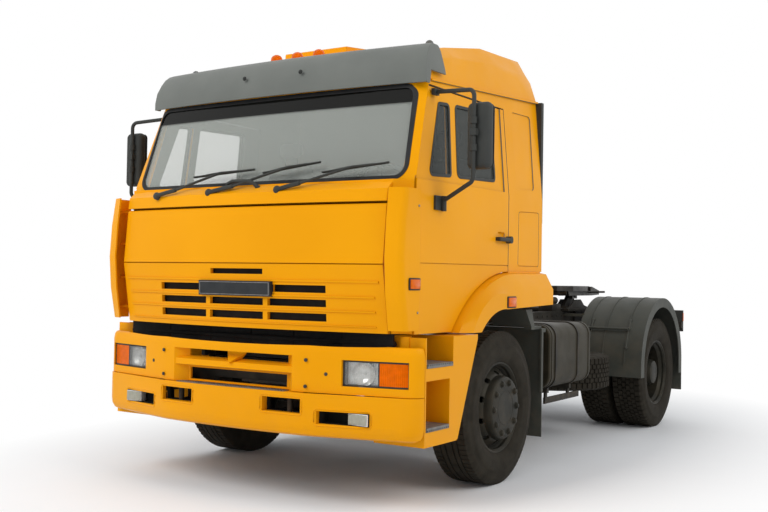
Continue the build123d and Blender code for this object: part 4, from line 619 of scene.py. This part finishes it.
# The frame round the two glasses and the bar between them. Columns: x range, z range.
LAMP_FRAME = [((793, 803), LAMP_Z), ((SPLIT - 3, SPLIT + 3), LAMP_Z), ((1183, 1191), LAMP_Z),
              (LAMP_X, (726, 735)), (LAMP_X, (866, 875))]
BOWL_X, BOWL_Z, BOWL_AIM = 905, 800, (0.19, -0.98, 0)
BOWL_Y = lamp_y(BOWL_X) + 44
BOWL = [(0, 14), (4, 30), (10, 46), (20, 60), (32, 70), (32, 72), (-2, 72), (-2, 14)]
BULB = [(0, 9), (14, 9), (20, 7), (24, 2)]
for sign, side in SIDES:
    housing, bowl, bulb, glass, amber = [bmesh.new() for _ in range(5)]
    add_strip(housing, lamp_y, LAMP_X, LAMP_Z, 45, 60)
    for xs, zs in LAMP_FRAME:
        add_strip(housing, lamp_y, xs, zs, -1.5, 50, steps=8)
    add_turned(bowl, BOWL, (BOWL_X, BOWL_Y, BOWL_Z), BOWL_AIM, steps=40)
    add_strip(bowl, lamp_y, CLEAR_X, GLASS_Z, 40, 43)
    add_turned(bulb, BULB, (BOWL_X, BOWL_Y + 2, BOWL_Z), BOWL_AIM, steps=16)
    add_strip(glass, lamp_y, CLEAR_X, GLASS_Z, 1, 4, steps=10)
    add_strip(amber, lamp_y, AMBER_X, GLASS_Z, 0, 12, steps=10)
    for key, bm, mat, slot in (("housing", housing, dark_plastic, "dark_plastic"),
                               ("bowl", bowl, reflector, "lamp_lens"),
                               ("bulb", bulb, clear_lens, "lamp_lens"),
                               ("glass", glass, clear_lens, "lamp_lens"),
                               ("indicator", amber, amber_lens, "amber_lens")):
        if sign < 0:
            swap_side(bm.verts)
        piece = put(f"headlamp_{key}_{side}", bm, "chassis", mat)
        if (key, side) == ("housing", "left"):
            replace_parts(piece, "headlamps")

# %% [markdown]
# ## Fog lamps
# Each fog lamp is a small oblong lamp in the outer half of its slot in the lower bumper. The inner half of
# the slot is open and dark. From here on, what is the same on both sides is built on the left and mirrored.

# %% Fog lamps
fog_glass, fog_case = bmesh.new(), bmesh.new()
add_box(fog_case, (838, -1290, 506), (972, -1242, 574), soft=0.004)
add_box(fog_glass, (842, -1294, 510), (968, -1289, 570), soft=0.003)
mirror(fog_glass, fog_case)
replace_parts(put("fog_cases", fog_case, "chassis", reflector), "fog_lamps")
fog_lens = lens("fog_lens", (0.50, 0.49, 0.40), 0.12, 0.25, 18)
put("fog_glasses", fog_glass, "chassis", fog_lens)

# %% [markdown]
# The slots of the bumper are lined with a near-black sheet, so that no painted inside shows through them.
# Its near-black is partly dark plastic and partly painted shade deep in the slots. The outer slot, with the
# fog lamp in it, is closed at the back, and the inner one lets air through.

# %% Linings of the slots
# columns: low x, high x, low z, high z, front y at the inner end, front y at the outer end, back y, closed
SLOTS = [(656, 974, 504, 576, -1336, -1298, -1236, True),
         (285, 554, 555, 638, -1362, -1350, -1270, False)]
LINING_INSET, LINING_WALL = 16, 0.002
linings = bmesh.new()
for x0, x1, z0, z1, y0, y1, back, closed in SLOTS:
    corners = [(x0, y0, z0), (x1, y1, z0), (x1, y1, z1), (x0, y0, z1)]
    mouth = [linings.verts.new(at(x, y + LINING_INSET, z)) for x, y, z in corners]
    deep = [linings.verts.new(at(x, back, z)) for x, y, z in corners]
    join_rings(linings, [mouth, deep], lids=False)
    if closed:
        linings.faces.new(deep)
mirror(linings)
# The lining's near-black is partly dark plastic and partly painted shade deep in the slots.
lining_and_shade_mat = finish("slot_lining_and_painted_shade", (0.008, 0.008, 0.007), (0.012, 0.012, 0.010), 0.7,
                    patch=20, grain=300, depth=0.2, edge=0, gloss=0.1)
lining_piece = put("slot_linings", linings, "chassis", lining_and_shade_mat)
lining_wall = lining_piece.modifiers.new("wall", "SOLIDIFY")
lining_wall.thickness = LINING_WALL
lining_wall.offset = 0

# %% [markdown]
# A pressed bead runs round each slot and stiffens the sheet. A ray shot at the CAD bumper finds the depth
# of its face at each point of the bead, so the bead lies on the curved face.

# %% Beads round the slots
RAY_START, USUAL_DEPTH = -1700, -1340
BEAD_RADIUS, BEAD_SUNK = 5.5, 1


def face_depth(node, x, z, fallback):
    """The drawing's y of a CAD node's front face at (x, z)."""
    target = nodes_of_cad[node]
    into = target.matrix_world.inverted()
    start, aim = into @ at(x, RAY_START, z), into.to_3x3() @ Vector((0, 1, 0))
    found, place, _, _ = target.ray_cast(start, aim)
    return (target.matrix_world @ place - at(0, 0, 0)).y * 1000 if found else fallback


slot_beads = bmesh.new()
for x0, x1, z0, z1, *_ in SLOTS:
    outline = rounded_rect(x1 - x0 + 26, z1 - z0 + 24, 20, steps=4)
    route = []
    for u, v in outline + outline[:1]:
        x, z = (x0 + x1) / 2 + u, (z0 + z1) / 2 + v
        route.append((x, face_depth("bumper_lower", x, z, USUAL_DEPTH) + BEAD_SUNK, z))
    add_bar(slot_beads, route, BEAD_RADIUS, steps=4)
mirror(slot_beads)
put("slot_beads", slot_beads, "chassis", paint)

# %% [markdown]
# ## The bare badge plate
# A dark plate sits across the grille. On this truck it stays bare. It follows the bow of the grille, so it
# is built from upright strips whose depth comes from the same arc as the grille itself.

# %% The grille's bow, and the plate on it
# columns: z, x of the corner, y at the corner, y in the middle
LID_ROWS = [(1771, 1048, -1243, -1303), (1431, 1048, -1273, -1328), (1034, 1048, -1208, -1318)]


def lid_y(x, z):
    """The drawing's y of the grille's face."""
    for (z1, xc, y1, m1), (z0, _, y0, m0) in zip(LID_ROWS, LID_ROWS[1:]):
        if z >= z0 or z0 == LID_ROWS[-1][0]:
            t = (z - z0) / (z1 - z0)
            corner, centre = y0 + (y1 - y0) * t, m0 + (m1 - m0) * t
            return centre + (corner - centre) * (x / xc) ** 2


badge, badge_rim = bmesh.new(), bmesh.new()
add_strip(badge, lid_y, (-289, 289), (1229, 1322), -27, 6, steps=14)
badge_mat = finish("badge_black", (0.020, 0.022, 0.024), (0.028, 0.030, 0.032), 0.35,
                   patch=12, grain=700, depth=0.05)
put("badge_plate", badge, "front_lid", badge_mat)
for xs, zs in (((-281, 281), (1236, 1240)), ((-281, 281), (1311, 1315)),
               ((-281, -276), (1236, 1315)), ((276, 281), (1236, 1315))):
    add_strip(badge_rim, lid_y, xs, zs, -28.5, -25, steps=14)
put("badge_rim", badge_rim, "front_lid", screw_steel)

# %% [markdown]
# ## Behind the slots
# Through the slots of the grille one sees a near-black screen. It is painted shade, standing in for the
# shade behind the grille. Below it, behind the bumper's upper edge, a cross beam carries six shields, whose
# near-black is partly the black parts there and partly painted shade. Without them the slots would show the
# painted inside of the cab.

# %% Painted shade screen behind the grille, cross beam behind the bumper
screen = bmesh.new()
add_strip(screen, lid_y, (-960, 960), (1040, 1420), 34, 38, steps=30)
# This near-black is painted shade on the screen and partly on the shields. On the beam's bar it is the
# beam's own black.
beam_black_and_painted_shade = finish("beam_black_and_painted_shade", (0.006, 0.006, 0.006), (0.010, 0.010, 0.009), 0.8,
                      patch=20, grain=200, depth=0.3, edge=0)
put("painted_shade_screen", screen, "front_lid", beam_black_and_painted_shade)
cross_beam = bmesh.new()
add_bar(cross_beam, [(-1064, -1150, 972), (0, -1176, 972), (1064, -1150, 972)], 16, steps=12)
# The shields' near-black is partly the black parts behind the bumper and partly painted shade.
SHADE_SHIELD_ENDS = [-1062, -700, -340, 0, 340, 700, 1062]
for x0, x1 in zip(SHADE_SHIELD_ENDS, SHADE_SHIELD_ENDS[1:]):
    add_box(cross_beam, (x0 + 2, -1168, 868), (x1 - 2, -1150, 1046), soft=0.004)
put("front_cross_beam", cross_beam, "chassis", beam_black_and_painted_shade)

# %% [markdown]
# ## Roof lamps
# Three amber domes stand at the middle of the roof's front edge, and a smoky dome on each side. Each is a
# turned shape on a dark plastic foot.

# %% Domes on the roof
AMBER_FOOT = [(0, 44), (6, 46), (12, 42)]
AMBER_DOME = [(0, 40), (14, 40), (30, 36), (40, 27), (47, 14), (49, 3)]
SIDE_FOOT = [(0, 30), (26, 31), (32, 26)]
SIDE_DOME = [(0, 27), (16, 27), (30, 22), (38, 12), (41, 2)]
domes, feet, side_domes = bmesh.new(), bmesh.new(), bmesh.new()
for x in (-178, 0, 178):
    add_turned(feet, AMBER_FOOT, (x, -745, 2798), (0, -0.15, 1), steps=28)
    add_turned(domes, AMBER_DOME, (x, -746, 2809), (0, -0.1, 1), steps=28)
for x in (-984, 984):
    add_turned(feet, SIDE_FOOT, (x, -680, 2768), (0, 0, 1))
    add_turned(side_domes, SIDE_DOME, (x, -680, 2799), (0, 0, 1))
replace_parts(put("roof_lamp_domes", domes, "cab", amber_lens), "roof_lamps")
put("roof_lamp_feet", feet, "cab", dark_plastic)
smoke_lens = lens("smoke_lens", (0.20, 0.21, 0.20), 0.15, 0.4, 20)
put("roof_lamp_clear_domes", side_domes, "cab", smoke_lens)

# %% [markdown]
# ## Side lamps and tail lamps
# Each amber side lamp is a lens in a dark rubber frame. The tail lamps are black boxes across the end of
# the truck with a red lens that looks back and a small amber one that looks sideways.

# %% Lamps with frames
PROUD = 11
frames, lenses, tail_red, tail_amber = [bmesh.new() for _ in range(4)]
# columns: x of the panel behind, middle y, middle z, length, height
for x, y, z, length, height in ((1252, -14, 1208, 118, 64), (1189, -1156, 1321, 108, 58)):
    frame_outline = rounded_rect(length + 14, height + 12, 9)
    lens_outline = rounded_rect(length - 4, height - 4, 6)
    add_prism(frames, frame_outline, on_side(x, y, z), [(-1, 0), (4, 0), (6, 2)])
    add_prism(lenses, lens_outline, on_side(x, y, z), [(0, 0), (PROUD - 2, 0), (PROUD, 3)])
add_prism(tail_red, rounded_rect(88, 172, 8), across(1118, 4147, 971), [(-2, 0), (5, 0), (7, 3)])
add_prism(tail_amber, rounded_rect(16, 84, 6), on_side(1179, 4137, 1010), [(0, 0), (3, 0), (5, 2)])
mirror(frames, lenses, tail_red, tail_amber)
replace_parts(put("side_lamp_lenses", lenses, "cab", amber_lens), "side_lamps")
put("side_lamp_frames", frames, "cab", seal_rubber)
put("tail_lenses", tail_red, "chassis", red_lens)
put("tail_side_lenses", tail_amber, "chassis", amber_lens)

# %% [markdown]
# ## Wipers
# A wiper has a cap over its spindle, a stiff root, a thin springy arm, and a claw of small yokes that
# spreads the arm's push along the blade. We take the spindle and both ends of each blade as given, and work
# out everything between them.

# %% Three wipers
# columns: spindle x, z, blade start x, z, blade end x, z
WIPERS = [(-751, 1872, -522, 1998, -20, 2030), (-288, 1880, 66, 2002, 500, 2052),
          (271, 1880, 530, 1986, 994, 2026)]
SPINDLE_CAP = [(-30, 25), (8, 25), (15, 21), (20, 10)]
# Yokes of the claw. Columns: share along the blade, how far out from the glass.
BIG_YOKE = [(0.22, 14), (0.34, 22), (0.5, 30), (0.66, 22), (0.78, 14)]
SMALL_YOKES = ([(0.05, 8), (0.215, 15), (0.38, 8)], [(0.62, 8), (0.785, 15), (0.95, 8)])
SPINDLE_Y, BLADE_START_Y, BLADE_END_Y = -1270, -1154, -1137
out = Vector((0, -1, 0.12)).normalized()
wiper_bm = bmesh.new()
for px, pz, x0, z0, x1, z1 in WIPERS:
    spindle = Vector((px, SPINDLE_Y, pz))
    start, end = Vector((x0, BLADE_START_Y, z0)), Vector((x1, BLADE_END_Y, z1))
    middle = start.lerp(end, 0.5)
    root = spindle + Vector(((middle.x - px) * 0.34, 14, 34))
    grip = middle + out * 30
    add_turned(wiper_bm, SPINDLE_CAP, spindle, (0, -1, 0.2), steps=20)
    add_bar(wiper_bm, [spindle + out * 8, spindle.lerp(root, 0.5) + out * 12, root + out * 8], 13.5)
    add_bar(wiper_bm, [root + out * 8, root.lerp(grip, 0.5) + out * 6, grip], 8.5)
    for lift, radius in ((4, 7.5), (12, 5.0)):
        add_bar(wiper_bm, [p + out * lift for p in (start, middle, end)], radius, steps=6)
    for yoke, radius in ((BIG_YOKE, 7.0), (SMALL_YOKES[0], 5.5), (SMALL_YOKES[1], 5.5)):
        add_bar(wiper_bm, [start.lerp(end, share) + out * lift for share, lift in yoke], radius, steps=6)
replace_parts(put("wiper_arms", wiper_bm, "cab", dark_plastic), "wipers")

# %% [markdown]
# ## Grab handle, screws and bolts
# Small fasteners tell the eye how large a truck is. The screws sit where the panels are really fixed: at
# the ends of the bumper's recess, along the visor, on the corner vanes and along the frame rails.

# %% Handle under the windscreen
GRAB = [(-166, -1236, 1912), (-150, -1244, 1936), (-112, -1246, 1950), (20, -1246, 1946), (62, -1244, 1930),
        (84, -1236, 1904)]
grab = bmesh.new()
add_bar(grab, GRAB, 12)
for x, z in ((-166, 1908), (84, 1900)):
    add_turned(grab, [(-40, 20), (6, 20), (10, 15)], (x, -1232, z), (0, -1, 0.4), steps=16)
put("grab_handle", grab, "cab", dark_plastic)

# %% Screws and bolts
RAIL_FACE, BOLT_STEP = 401, 110


def add_screw(bm, place, axis, radius, steps=12):
    add_turned(bm, [(-3, radius), (2.5, radius), (4, radius * 0.7)], place, axis, steps)


bumper_screws, vane_bolts, visor_bolts, frame_bolts = [bmesh.new() for _ in range(4)]
for place in ((575, -1353, 867), (574, -1353, 713), (697, -1318, 790)):
    add_screw(bumper_screws, place, (0.15, -1, 0), 11)
for z in (1157, 1770):
    add_screw(vane_bolts, (1190, -1118, z), (1, 0, 0), 7)
for y, z in ((-800, 2668), (-742, 2676)):
    add_screw(visor_bolts, (1103, y, z), (1, 0, 0.2), 9)
VISOR_STUD = [(-6, 15), (-1, 14), (0, 8), (6, 7), (7, 4)]
add_turned(visor_bolts, VISOR_STUD, (232, -1016, 2655), (0.05, -1, 0.2), steps=18)
mirror(bumper_screws, vane_bolts, visor_bolts)
for y in range(-880, 4000, BOLT_STEP):
    for z in (862, 1028):
        for sign, _ in SIDES:
            add_screw(frame_bolts, (sign * RAIL_FACE, y, z), (sign, 0, 0), 11, steps=6)
put("bumper_screws", bumper_screws, "chassis", dark_plastic)
put("vane_bolts", vane_bolts, "cab", screw_steel)
put("visor_bolts", visor_bolts, "cab", dark_plastic)
put("frame_bolts", frame_bolts, "chassis", chassis_black)

# %% [markdown]
# ## Under the fifth wheel
# Under its plate a fifth wheel is a casting with a deep rim and cross ribs. It stands on carriers that are
# bolted to the frame rails. The rims and saddles are flat outlines, drawn out to their thickness.

# %% Rim, ramps and ribs under the plate
RIM = [(2975, 1258), (3000, 1214), (3590, 1214), (3790, 1222), (3796, 1262), (3590, 1303), (3560, 1258)]
RAMP = [(3584, 1256), (3796, 1226), (3800, 1258), (3640, 1297), (3584, 1303)]
ribs = bmesh.new()
for x in (-330, -200, 200, 330):
    add_box(ribs, (x - 9, 2960, 1212), (x + 9, 3270, 1258), soft=0.004)
for x in (-411, 411):
    add_extruded(ribs, x - 7, x + 7, RIM)
for x0, x1 in ((-404, -110), (110, 404)):
    add_extruded(ribs, x0, x1, RAMP)
for y in (2975, 3080, 3190):
    for x0, x1 in ((-404, -70), (70, 404)):
        add_box(ribs, (x0, y - 8, 1216), (x1, y + 8, 1258), soft=0.004)
put("fifth_wheel_ribs", ribs, "fifth_wheel", greased_steel)

# %% Carriers on the frame rails
SADDLE = [(2880, 1062), (3650, 1062), (3640, 1078), (3420, 1118), (3330, 1176), (3170, 1176), (3080, 1118),
          (2890, 1078)]
carriers = bmesh.new()
for x in (262, 398):
    add_extruded(carriers, x - 7, x + 7, SADDLE)
for y0, y1, z1 in ((2890, 2904, 1082), (3060, 3074, 1112), (3426, 3440, 1112), (3626, 3640, 1080)):
    add_box(carriers, (262, y0, 1062), (398, y1, z1), soft=0.003)
add_box(carriers, (250, 2655, 1060), (396, 2860, 1140), soft=0.012)
add_turned(carriers, [(-100, 34), (100, 34), (108, 26)], (330, 2760, 1168), (0, 1, 0))
mirror(carriers)
put("fifth_wheel_carriers", carriers, "chassis", chassis_black)

# %% [markdown]
# ## Guards, tank and reflectors
# Round bars with a bolt at each end hold the rear guards. The tank has a filler cap, and a small amber
# reflector sits on each side, behind the front wheel.

# %% Brackets of the rear guards
brackets = bmesh.new()
for x in (720, 1075):
    add_bar(brackets, [(x, 2874, 1012), (x, 2846, 985), (x, 2778, 872), (x, 2734, 762)], 9)
    for y, z, lean in ((2732, 762, 0.2), (2862, 1000, 0.8)):
        add_turned(brackets, [(-4, 15), (6, 15), (9, 10)], (x, y, z), (0, -1, lean), steps=6)
mirror(brackets)
put("guard_brackets", brackets, "chassis", guard_grey)

# %% Tank cap, reflectors
TANK_CAP = [(-6, 46), (14, 46), (18, 40), (30, 38), (34, 30)]
tank_cap, side_mark = bmesh.new(), bmesh.new()
add_turned(tank_cap, TANK_CAP, (905, 1105, 985), (0, 0, 1), steps=32)
put("tank_cap", tank_cap, "chassis", dark_plastic)
# The amber lens finish glows faintly. These reflectors hold no lamp, so on them that glow is painted light.
add_prism(side_mark, rounded_rect(22, 52, 6), on_side(1186, 612, 962), [(0, 0), (4, 0), (6, 2)])
mirror(side_mark)
put("flap_reflectors", side_mark, "chassis", amber_lens)

# %% [markdown]
# ## Mirrors
# The housing is the CAD solid. Behind it, facing the driver, sits the glass in a thin plastic rim, and two
# barrels clamp the housing to its arm. They ride on the doors, so each side is a piece of its own.

# %% Mirror glass and clamps
MIRROR_FACE, CLAMP_X, CLAMP_Y = (1426, -792, 2195), 1411, -884
mirror_silver = finish("mirror_silver", (0.70, 0.72, 0.73), (0.62, 0.64, 0.65), 0.04,
                       metal=1.0, patch=3, depth=0.0, edge=0, gloss=0.5)
for sign, side in SIDES:
    glass, rim = bmesh.new(), bmesh.new()
    add_prism(rim, rounded_rect(146, 384, 34), across(*MIRROR_FACE), [(-4, 0), (2, 0), (3.5, 3)])
    add_prism(glass, rounded_rect(130, 366, 28), across(*MIRROR_FACE), [(0, 0), (4.2, 0)])
    for z in (2120, 2280):
        add_turned(rim, [(-20, 20), (20, 20)], (CLAMP_X, CLAMP_Y, z), (0, 0, 1), steps=16)
        add_bar(rim, [(CLAMP_X, CLAMP_Y, z), (1418, -846, z)], 11)
    if sign < 0:
        swap_side([*glass.verts, *rim.verts])
    put(f"mirror_glass_{side}", glass, f"door_{side}", mirror_silver)
    put(f"mirror_rim_{side}", rim, f"door_{side}", dark_plastic)

# %% [markdown]
# ## Wheel caps
# A dished cap covers each front hub. Round it stand ten nuts on their studs. The rear wheels show a washer
# and the end of a stud at each place, deep in the outer rim.

# %% Hub caps and stud ends
NUTS, NUT_CIRCLE = 10, 168
HUB_CAP = [(104, 216), (136, 212), (158, 206), (167, 198), (169, 190), (169, 114), (167, 112), (169, 110),
           (169, 40), (168, 1)]
FRONT_NUT = [(168, 25), (172, 24), (172, 20), (169.5, 19), (178, 18), (184, 13), (186, 5)]
REAR_WASHER, REAR_STUD = [(36, 22), (42, 22), (44, 18)], [(50, 10), (66, 10), (68, 8)]
# columns: axle, x, y, body's name, turned shapes at each nut's place with their steps
HUBS = [("front", FRONT_X, 0, "wheel_front", [(FRONT_NUT, 18)]),
        ("rear", REAR_X - TWIN / 2, WHEELBASE, "wheels_rear", [(REAR_WASHER, 20), (REAR_STUD, 12)])]
for sign, side in SIDES:
    for axle, x, y, body, shapes in HUBS:
        cap = bmesh.new()
        if axle == "front":
            add_turned(cap, HUB_CAP, (x, y, TYRE_R), (1, 0, 0), 72)
        for k in range(NUTS):
            a = 2 * math.pi * k / NUTS
            spot = (x, y + NUT_CIRCLE * math.cos(a), TYRE_R + NUT_CIRCLE * math.sin(a))
            for profile, steps in shapes:
                add_turned(cap, profile, spot, (1, 0, 0), steps)
        if sign < 0:
            swap_side(cap.verts)
        put(f"hub_{axle}_{side}", cap, f"{body}_{side}", wheel_black)

# %% [markdown]
# ## Seats and bunk
# A cushion is a bag of cloth over foam: it stands proud in the middle, and its sides pull in between the
# corners. We start from a closed box of many small faces, blow it up with a cloth simulation under a little
# pressure, and cap how far any point may move, so that it keeps the seat's size. The sewn channels come
# last: the cover is pulled in along narrow lines.

# %% Cushions by cloth pressure
PRESSURE, LAST_FRAME = 4, 20
CHANNEL, FILL = 0.009, 0.85


def frozen(piece):
    """A copy of the piece's mesh with its modifiers applied."""
    return bpy.data.meshes.new_from_object(piece.evaluated_get(bpy.context.evaluated_depsgraph_get()))


def blow_up(pad, cap):
    """Cloth under pressure, run to its last frame. No point moves further than the cap, in millimetres."""
    cloth = pad.modifiers.new("cloth", "CLOTH")
    cloth.settings.use_pressure = True
    cloth.settings.uniform_pressure_force = PRESSURE
    cloth.settings.effector_weights.gravity = 0
    for frame_number in range(1, LAST_FRAME + 1):
        bpy.context.scene.frame_set(frame_number)
    puffed = frozen(pad)
    pad.modifiers.remove(cloth)
    bpy.context.scene.frame_set(1)
    for vertex, blown in zip(pad.data.vertices, puffed.vertices):
        move = blown.co - vertex.co
        vertex.co = vertex.co + move * min(1.0, cap / 1000 / max(move.length, 1e-6))


def sew_channels(mesh, lo, hi, shares):
    """Pulls the cover in along lines across its longest side, at the given shares of that side."""
    axis = max(range(3), key=lambda i: (hi - lo)[i])
    length, middle = (hi - lo)[axis], (lo + hi) / 2
    for vertex in mesh.vertices:
        share = (vertex.co[axis] - lo[axis]) / length
        pull = sum(math.exp(-((share - s) * length / CHANNEL) ** 2) for s in shares)
        if pull > 0.01:
            away = vertex.co - middle
            away[axis] = 0
            vertex.co -= away.normalized() * CHANNEL * min(pull, 1)


def cushion(name, xs, ys, zs, voxel, cap, channels=()):
    """A padded box between drawing millimetres, with sewn channels across it."""
    low, high = zip(xs, ys, zs)
    bm = bmesh.new()
    add_box(bm, [v + cap for v in low], [v - cap for v in high], soft=0.035)
    pad = put(name, bm, "cab", seat_cloth, smooth=180)
    remesh = pad.modifiers.new("even_faces", "REMESH")
    remesh.mode, remesh.voxel_size = "VOXEL", voxel
    bpy.context.view_layer.update()
    even = frozen(pad)
    pad.modifiers.remove(remesh)
    pad.data = even
    blow_up(pad, cap)
    sew_channels(pad.data, at(*low), at(*high), channels)
    pad.data.shade_smooth()
    pad.data.materials.clear()
    pad.data.materials.append(seat_cloth)


def span(sign, inner, outer):
    """Low and high x of what lies between two distances from the centre plane, on one side."""
    return sorted((sign * inner, sign * outer))


# columns: name, inner and outer x, y range, z range, voxel, cap, channels
SEAT_PADS = [("seat_cushion", (450, 950), (-440, 80), (1700, 1864), 0.012, 24, (0.28, 0.72)),
             ("seat_back", (460, 940), (36, 160), (1850, 2232), 0.012, 22, (0.3, 0.6)),
             ("head_rest", (570, 830), (46, 142), (2250, 2412), 0.010, 22, ())]
for sign, side in SIDES:
    for name, reach, ys, zs, voxel, cap, channels in SEAT_PADS:
        cushion(f"{name}_{side}", span(sign, *reach), ys, zs, voxel, cap, channels)
cushion("bunk_mattress", (-1076, 1076), (272, 642), (1640, 1750), 0.016, 22, (0.2, 0.4, 0.6, 0.8))
print(2 * len(SEAT_PADS) + 1, "padded pieces")

# %% [markdown]
# Under the cushions stand hard bases: a box and a pan for each seat, two thin bars that carry each head
# rest, and the board and the two front panels of the bunk.

# %% Seat bases and bunk board
bases = bmesh.new()
for sign, _ in SIDES:
    # columns: inner and outer x, y range, z range, soft edge
    for reach, ys, zs, soft in (((480, 920), (-400, 60), (1448, 1640), 0.012),
                                ((462, 938), (-430, 90), (1640, 1698), 0.010)):
        low, high = zip(span(sign, *reach), ys, zs)
        add_box(bases, low, high, soft=soft)
    for x in (sign * 640, sign * 760):
        add_bar(bases, [(x, 100, 2200), (x, 100, 2270)], 7)
add_box(bases, (-1078, 262, 1602), (1078, 644, 1638), soft=0.006)
add_box(bases, (-1078, 262, 1448), (-406, 290, 1602), soft=0.004)
add_box(bases, (406, 262, 1448), (1078, 290, 1602), soft=0.004)
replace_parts(put("seat_bases", bases, "cab", dark_plastic), "seats")

# %% [markdown]
# ## Floor, light and camera
# The truck stands on a plain pale floor. Further out the floor turns white for the camera alone, so the
# truck's shadow ends softly. The reach of that change is an oval, longer than it is wide, as the truck is.

# %% Floor
OVAL = (1 / 1.9, 1 / 3.4, 0)
WHITE = (1, 1, 1, 1)
FLOOR_HALF = 150


def mix_shaders(tree, share, first, second, output):
    mixer = add_node(tree, "ShaderNodeMixShader", {0: share, 1: first, 2: second})
    fill(tree.nodes[output], {"Surface": mixer.outputs[0]})


floor_mesh = bpy.data.meshes.new("floor")
floor_corners = [(x * FLOOR_HALF, y * FLOOR_HALF, 0) for x, y in ((-1, -1), (1, -1), (1, 1), (-1, 1))]
floor_mesh.from_pydata(floor_corners, [], [(0, 1, 2, 3)])
floor = bpy.data.objects.new("floor", floor_mesh)
bpy.context.scene.collection.objects.link(floor)
floor_mat, tree, shader = blank_material("floor_pale")
shade = remap(tree, noise(tree, own_place(tree), 3, 2), 0, 1, 0, 1)
pale = blend_colour(tree, shade, (0.93, 0.93, 0.93, 1), (0.96, 0.96, 0.96, 1))
fill(shader, {"Base Color": pale, "Roughness": 0.9})
reach = vector_maths(tree, "LENGTH", vector_maths(tree, "MULTIPLY", own_place(tree), OVAL)[0])["Value"]
far = remap(tree, reach, 0.85, 1.6, 0, 1)
plain = add_node(tree, "ShaderNodeEmission", {"Color": WHITE, "Strength": 1})
to_camera = maths(tree, "MULTIPLY", far, add_node(tree, "ShaderNodeLightPath").outputs["Is Camera Ray"])
mix_shaders(tree, to_camera, shader.outputs[0], plain.outputs[0], "Material Output")
floor_mesh.materials.append(floor_mat)
floor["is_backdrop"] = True
print("floor", floor.dimensions[:])

# %% [markdown]
# The world gives soft light from everywhere, and two large lamps shape the panels, one in front and one
# from the side. Rays from the camera, and those that gloss throws back or glass lets through, see a white
# world. Only the soft light on dull surfaces comes from a dimmer one, with a little blue in it.

# %% World and lamps
scene = bpy.context.scene
world = bpy.data.worlds.new("soft_day")
scene.world = world
world.use_nodes = True
tree = world.node_tree
light = tree.nodes["Background"]
fill(light, {"Color": (0.93, 0.96, 1.0, 1), "Strength": 0.60})
white = add_node(tree, "ShaderNodeBackground", {"Color": WHITE})
rays = add_node(tree, "ShaderNodeLightPath").outputs
seen = maths(tree, "MAXIMUM", rays["Is Camera Ray"], rays["Is Glossy Ray"])
seen = maths(tree, "MAXIMUM", seen, rays["Is Transmission Ray"])
mix_shaders(tree, seen, light.outputs[0], white.outputs[0], "World Output")


def soft_lamp(name, place, aim, size, power, mirrored_in_gloss=True):
    data = bpy.data.lights.new(name, "AREA")
    data.shape, data.size, data.energy = "DISK", size, power
    lamp = bpy.data.objects.new(name, data)
    lamp.location = place
    lamp.rotation_mode = "QUATERNION"
    lamp.rotation_quaternion = (Vector(aim) - Vector(place)).to_track_quat("-Z", "Y")
    lamp.visible_glossy = mirrored_in_gloss
    scene.collection.objects.link(lamp)


soft_lamp("front_sky", (-3.5, -11, 9), (0, -1, 1.5), 7, 690, mirrored_in_gloss=False)
soft_lamp("side_sky", (9, -2, 7), (0, 0, 1.5), 6, 290)
scene.view_settings.view_transform = "Standard"
print("lit by the world and", len(bpy.data.lights), "lamps")

# %% [markdown]
# The camera stands 1.35 m above the ground, ahead of the truck and to its left. Three angles turn it: how
# far it looks to the side, how far up or down, and how far it leans.

# %% The camera
EYE = Vector((4.1272, -7.4056, 1.3512))
YAW, PITCH, ROLL = math.radians(32.84), math.radians(-1.28), math.radians(0.96)
look = Vector((-math.sin(YAW) * math.cos(PITCH), math.cos(YAW) * math.cos(PITCH), -math.sin(PITCH)))
right = look.cross(Vector((0, 0, 1))).normalized()
up = right.cross(look)
right, up = math.cos(ROLL) * right + math.sin(ROLL) * up, math.cos(ROLL) * up - math.sin(ROLL) * right
view = bpy.data.cameras.new("view")
view.sensor_width, view.lens = 36, 46.91
view.clip_end = 500
camera = bpy.data.objects.new("view", view)
camera.matrix_world = Matrix.Translation(EYE) @ Matrix((right, up, -look)).transposed().to_4x4()
scene.collection.objects.link(camera)
scene.camera = camera
print("camera looks along", [round(v, 3) for v in look])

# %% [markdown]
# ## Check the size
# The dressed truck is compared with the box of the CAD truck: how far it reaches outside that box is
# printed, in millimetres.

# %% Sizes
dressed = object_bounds()
growth = [[round((d - c) * 1000, 1) for d, c in zip(a, b)] for a, b in zip(dressed, cad_box)]
print("outside the CAD box by (mm):", growth)
